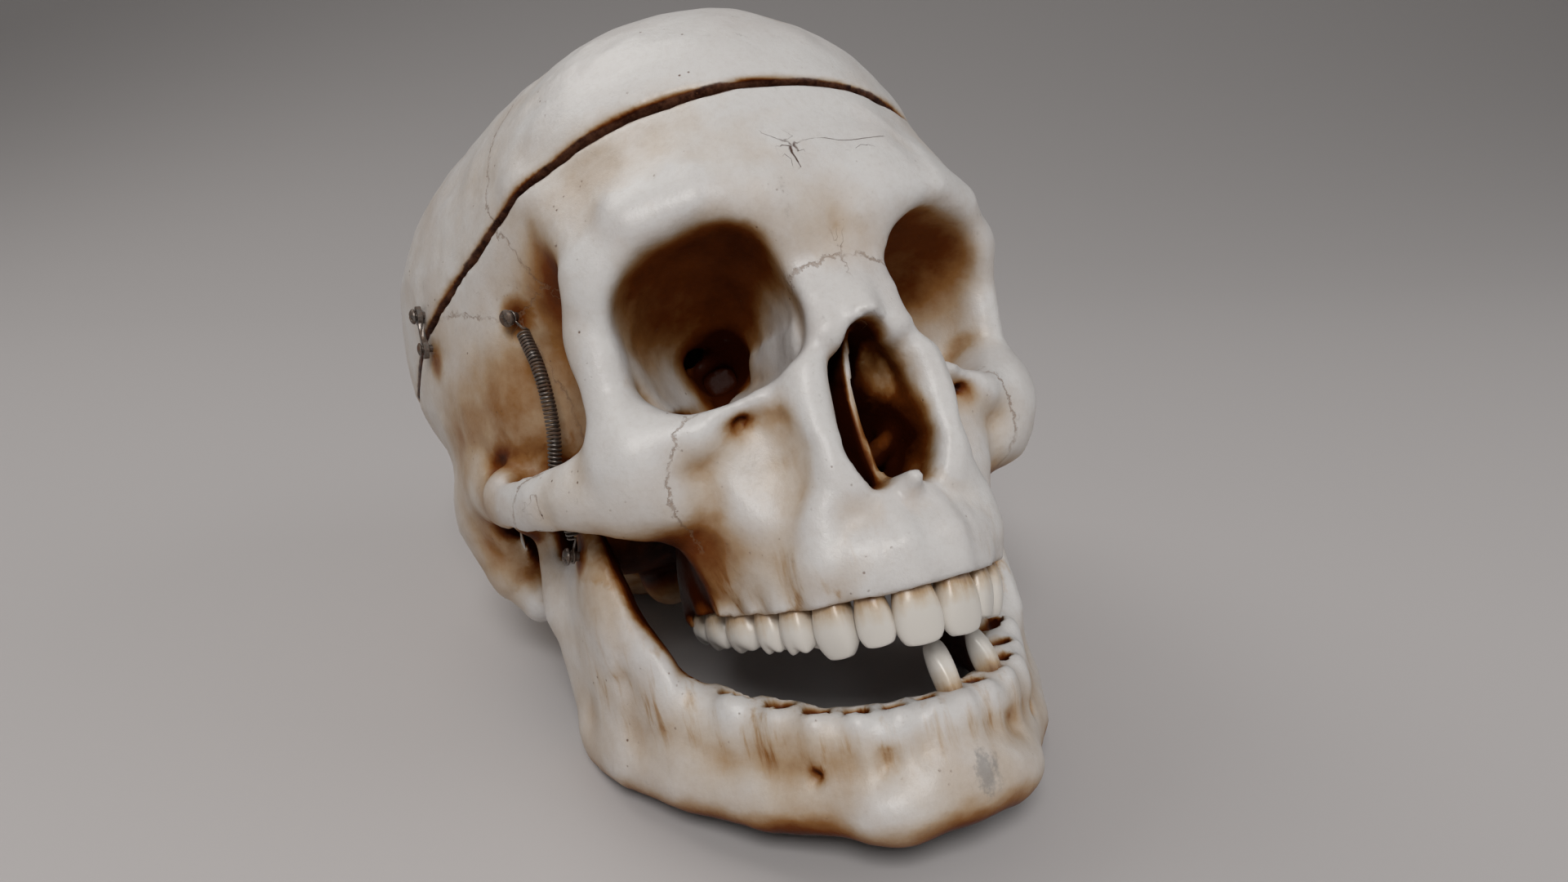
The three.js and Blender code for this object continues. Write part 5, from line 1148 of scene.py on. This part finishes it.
# Lower teeth. The two that are left stand tall in their sockets, with part of the root bare. Each
# has its socket, its crown's height and the ways that its width, depth and length point.
lower_teeth = {
    "central_incisor": (
        left_incisor, 9.81, ((0.99, 0.14, 0), (0.14, -0.97, 0.21), (0.03, -0.21, -0.98)),
    ),
    "canine": (
        left_canine, 8.76, ((0.85, 0.53, 0), (0.52, -0.83, 0.21), (0.11, -0.18, -0.98)),
    ),
}
for name, (socket, crown, ways) in lower_teeth.items():
    mesh = tooth_mesh("tooth_lower_" + name, lower_form, 5.4, 6, crown - 0.1, 7)
    matrix = Matrix.Translation(socket[:3]) @ Matrix(ways).transposed().to_4x4()
    add_tooth(f"lower_{name}_tooth", f"lower_left_{name}", "jaw", mesh, matrix, 9)

# Steel hardware. Every screw, pin, hook and spring is the same soft steel, gone dark with age and
# rusty where it meets the bone.
steel, tree, shader, place = start_material("tarnished_steel")
patches = noise(tree, place, 2.6, 5.0, 0.65, 12.0)
grain = noise(tree, place, 0.5, 4.0, 0.7, 13.0)
tree.links.new(ramp_of(tree, sum_of(tree, [(patches, 1.0), (grain, 0.25)], -0.1), (
    (0.0, (0.30, 0.28, 0.26)), (0.42, (0.20, 0.18, 0.165)), (0.6, (0.12, 0.075, 0.05)),
    (0.8, (0.13, 0.045, 0.02)),
)), shader.inputs["Base Color"])
tree.links.new(spread(tree, patches, 0.42, 0.62, 0.9, 0.25), shader.inputs["Metallic"])
tree.links.new(spread(tree, patches, 0.4, 0.65, 0.36, 0.75), shader.inputs["Roughness"])
roughen_shader(tree, shader, grain, 0.4, 0.0001)


def keep_steel(piece, body, node):
    piece.data.materials.append(steel)
    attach(piece, body)
    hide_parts(node)


# Sizes of screws: shank's radius, its depth in the bone, the neck's height, head's radius, height.
hook_screw_size, catch_pin_size = (1.0, 4.2, 2.3, 1.9, 1.3), (0.9, 4.2, 2.41, 1.6, 0.9)
hook_bevel = 0.00015
temple_screw_size, jaw_screw_size = (1.0, 4.2, 2.2, 1.9, 1.3), (1.0, 3.2, 2.2, 1.9, 1.3)
slot_half_width = 0.28


def refined(node, body, bevel):
    """A CAD node's merged twin with its edges rounded."""
    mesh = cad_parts[node].data.copy()
    mesh.name = node + "_steel"
    shape = bmesh.new()
    shape.from_mesh(mesh)
    bmesh.ops.remove_doubles(shape, verts=shape.verts[:], dist=1e-6)
    shape.to_mesh(mesh)
    shape.free()
    mesh.materials.clear()
    piece = add_piece(node + "_steel", mesh)
    edge = piece.modifiers.new("edge", "BEVEL")
    edge.width, edge.segments, edge.limit_method = bevel, 2, "ANGLE"
    mesh.shade_smooth()
    mesh.set_sharp_from_angle(angle=math.radians(30))
    keep_steel(piece, body, node)


def screw(name, node, body, seat, normal, size, slot=True):
    """A round-headed screw in head millimetres: its shank goes into the bone against the normal."""
    shank, depth, neck, head_radius, head_height = size
    edge_radius, edge_height, round_steps = 0.15, 0.2, 6
    profile = [(0, -depth), (shank * 0.6, -depth + 0.4), (shank, -depth + 1), (shank, neck)]
    profile += [(head_radius - edge_radius, neck), (head_radius, neck + edge_height)]
    for k in range(1, round_steps + 1):
        angle = math.pi / 2 * k / round_steps
        profile.append((
            head_radius * math.cos(angle) if k < round_steps else 0,
            neck + edge_height + (head_height - edge_height) * math.sin(angle),
        ))
    shape = bmesh.new()
    verts = [shape.verts.new((r, 0, h)) for r, h in profile]
    edges = [shape.edges.new(pair) for pair in zip(verts[:-1], verts[1:])]
    bmesh.ops.spin(
        shape, geom=verts + edges, cent=(0, 0, 0), axis=(0, 0, 1), angle=math.tau, steps=32,
        use_merge=True,
    )
    bmesh.ops.remove_doubles(shape, verts=shape.verts[:], dist=1e-5)
    bmesh.ops.recalc_face_normals(shape, faces=shape.faces[:])
    if slot:
        for wall in (-slot_half_width, slot_half_width):
            bmesh.ops.bisect_plane(
                shape, geom=shape.verts[:] + shape.edges[:] + shape.faces[:],
                plane_co=(0, wall, 0), plane_no=(0, 1, 0), dist=1e-5,
            )
        floor = neck + head_height * 0.5
        for vert in shape.verts:
            if abs(vert.co.y) < slot_half_width + 0.001 and vert.co.z > floor:
                vert.co.z = floor
    mesh = mesh_of(name, shape)
    turn = Vector((0, 0, 1)).rotation_difference(Vector(normal)).to_matrix().to_4x4()
    slot_turn = Matrix.Rotation(0.7, 4, "Z")
    mesh.transform(head_to_world @ Matrix.Translation(seat) @ turn @ slot_turn)
    mesh.shade_smooth()
    mesh.set_sharp_from_angle(angle=math.radians(35))
    keep_steel(add_piece(name, mesh), body, node)


# Dowels. Two plain pins in the sawn face of the cranium that find their holes in the cap.
for node in ("front_dowel", "rear_dowel"):
    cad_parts[node].data.materials.clear()
    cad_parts[node].data.materials.append(steel)

# Cap hooks. Each is a flat steel bar that turns on a screw in the cap and goes round the neck of a
# pin in the cranium, below the saw cut.
for side, word in ((-1, "right"), (1, "left")):
    refined("cap_hook_" + word, "hook_" + word, hook_bevel)
    out = (side, 0, 0)
    screw(
        f"hook_{word}_screw", "hook_screw_" + word, "skull_cap", (side * 66.4, 0, 49), out,
        hook_screw_size,
    )
    screw(
        f"{word}_catch_pin", "catch_pin_" + word, "cranium", (side * 66.29, 0, 40.6), out,
        catch_pin_size, slot=False,
    )

# Jaw springs. Close-wound coils of thin steel wire whose looped ends go round a screw in the
# temple and a screw in the tip of the jaw; they hold the jaw shut.
spring_path = [
    (54.64, -38.36, 33.73), (53.07, -39.1, 30.02), (52.71, -40.59, 26.4), (52.35, -42.03, 22.77),
    (52.09, -42.91, 18.96), (51.89, -43.18, 15.06), (51.78, -43.05, 11.14), (51.83, -42.65, 7.24),
    (52.2, -41.92, 3.4), (52.67, -40.95, -0.37), (52.88, -39.86, -4.13), (52.47, -38.68, -7.85),
    (51.58, -37.38, -11.44), (50.66, -36.07, -15.02), (51.32, -34.67, -18.82),
]
spring_turns, coil_radius, wire_radius = 56, 1.57, 0.29
turn_steps = 12
loop_radius, loop_height, loop_gap, coil_from_seat = 1.35, 1.2, 0.25, 4.2
temple_seat, temple_way = np.array([53.74, -37.80, 34]), np.array([0.8224, -0.5122, -0.2476])
jaw_seat, jaw_way = np.array([50.23, -34.65, -19]), np.array([0.9865, -0.0217, 0.1626])


def loop_round(centre, way, towards, radius):
    """Most of a circle about a screw, from the side that faces a place and back to it."""
    first = towards - centre
    first -= way * (first @ way)
    first /= np.linalg.norm(first)
    second = np.cross(way, first)
    angles = np.linspace(loop_gap, math.tau - loop_gap, 16)
    return [centre + radius * (math.cos(a) * first + math.sin(a) * second) for a in angles]


def spring_points():
    path = np.array(spring_path)
    lengths = np.concatenate([[0], np.cumsum(np.linalg.norm(np.diff(path, axis=0), axis=1))])
    count = spring_turns * turn_steps
    along = np.linspace(coil_from_seat, lengths[-1] - coil_from_seat, count + 1)
    centre = np.stack([np.interp(along, lengths, path[:, i]) for i in range(3)], axis=1)
    for _ in range(30):
        centre[1:-1] = (centre[:-2] + centre[2:] + 2 * centre[1:-1]) / 4
    way = np.gradient(centre, axis=0)
    way /= np.linalg.norm(way, axis=1)[:, None]
    first = np.cross(way, (1.0, 0, 0))
    first /= np.linalg.norm(first, axis=1)[:, None]
    second = np.cross(way, first)
    angle = np.linspace(0, spring_turns * math.tau, count + 1)[:, None]
    coil = centre + (coil_radius - wire_radius) * (np.cos(angle) * first + np.sin(angle) * second)
    top = loop_round(temple_seat + temple_way * loop_height, temple_way, centre[0], loop_radius)
    bottom = loop_round(jaw_seat + jaw_way * loop_height, jaw_way, centre[-1], loop_radius)
    after_top, before_bottom = (top[-1] + coil[0]) / 2, (coil[-1] + bottom[0]) / 2
    return np.concatenate([top, [after_top], coil, [before_bottom], bottom])


for side, word in ((-1, "right"), (1, "left")):
    mirror = np.array([side, 1, 1])
    screw(
        f"{word}_temple_screw", "temple_screw_" + word, "cranium", temple_seat * mirror,
        temple_way * mirror, temple_screw_size,
    )
    screw(
        f"{word}_jaw_screw", "jaw_screw_" + word, "jaw", jaw_seat * mirror, jaw_way * mirror,
        jaw_screw_size,
    )
    points = spring_points() * mirror
    curve = bpy.data.curves.new("spring_curve", "CURVE")
    curve.dimensions = "3D"
    curve.bevel_depth = wire_radius
    curve.bevel_resolution = 2
    curve.use_fill_caps = True
    spline = curve.splines.new("POLY")
    spline.points.add(len(points) - 1)
    spline.points.foreach_set("co", np.c_[points, np.ones(len(points))].ravel())
    spline.use_smooth = True
    holder = bpy.data.objects.new("spring_holder", curve)
    mesh = bpy.data.meshes.new_from_object(holder)
    mesh.name = word + "_jaw_spring"
    mesh.transform(head_to_world)
    mesh.materials.clear()
    mesh.materials.append(steel)
    mesh.shade_smooth()
    bpy.data.objects.remove(holder)
    piece = add_piece(word + "_jaw_spring", mesh)
    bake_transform(piece)
    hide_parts("jaw_spring_" + word)

# Table, backdrop and lights. The table's top runs back and up into the backdrop in one curve.
pale, tree, shader, _ = start_material("pale_table")
shader.inputs["Base Color"].default_value = (0.56, 0.535, 0.532, 1)
shader.inputs["Roughness"].default_value = 0.7
reach, rise_start, curl, wall_top, curl_steps = 9.0, 0.55, 2.2, 7.0, 24
rows = [(-reach, 0.0), (0, 0), (rise_start, 0)]
for k in range(1, curl_steps + 1):
    angle = math.pi / 2 * k / curl_steps
    rows.append((rise_start + curl * math.sin(angle), curl * (1 - math.cos(angle))))
rows.append((rise_start + curl, wall_top))
view_turn = math.atan2(camera_turn[2][0], camera_turn[2][1])
shape = bmesh.new()
previous = None
for depth, height in rows:
    pair = []
    for across in (-reach, reach):
        x = across * math.cos(view_turn) + depth * math.sin(view_turn)
        y = depth * math.cos(view_turn) - across * math.sin(view_turn)
        pair.append(shape.verts.new((x, y, height)))
    if previous:
        shape.faces.new((previous[0], previous[1], pair[1], pair[0]))
    previous = pair
mesh = mesh_of("table", shape)
mesh.shade_smooth()
mesh.materials.append(pale)
table = add_piece("table", mesh)

world = bpy.data.worlds.new("room")
world.use_nodes = True
tree = world.node_tree
room_light = tree.nodes["Background"]
room_light.inputs[0].default_value = (1.0, 0.98, 0.95, 1)
room_strength = 0.17
room_light.inputs[1].default_value = room_strength
# Past the table's ends the room is seen in the table's own shade, so no edge shows.
seen_room = add_node(
    tree, "ShaderNodeBackground", in_Color=(0.56, 0.524, 0.505, 1), in_Strength=room_strength,
)
sight = tree.nodes.new("ShaderNodeLightPath").outputs["Is Camera Ray"]
room = add_node(
    tree, "ShaderNodeMixShader",
    [(0, sight), (1, room_light.outputs[0]), (2, seen_room.outputs[0])],
)
tree.links.new(room.outputs[0], tree.nodes["World Output"].inputs[0])
bpy.context.scene.world = world
# A window at the skull's right front, a large weak fill at its left and a light from behind.
skull_middle = Vector((0, 0, 0.07))
for name, place_at, size, power, tint in (
    ("window", (-0.5, -0.95, 1.1), 0.5, 11.0, (1.0, 0.985, 0.97)),
    ("fill", (1.1, -0.7, 0.9), 1.0, 3.0, (0.96, 0.98, 1.0)),
    ("back", (-0.4, 0.8, 1.2), 0.9, 5.0, (1.0, 0.985, 0.96)),
):
    data = bpy.data.lights.new(name, "AREA")
    data.shape, data.size, data.energy, data.color = "SQUARE", size, power, tint
    light = bpy.data.objects.new(name, data)
    light.location = place_at
    towards = skull_middle - Vector(place_at)
    light.rotation_euler = towards.to_track_quat("-Z", "Y").to_euler()
    bpy.context.collection.objects.link(light)
bpy.context.scene.view_settings.view_transform = "Standard"
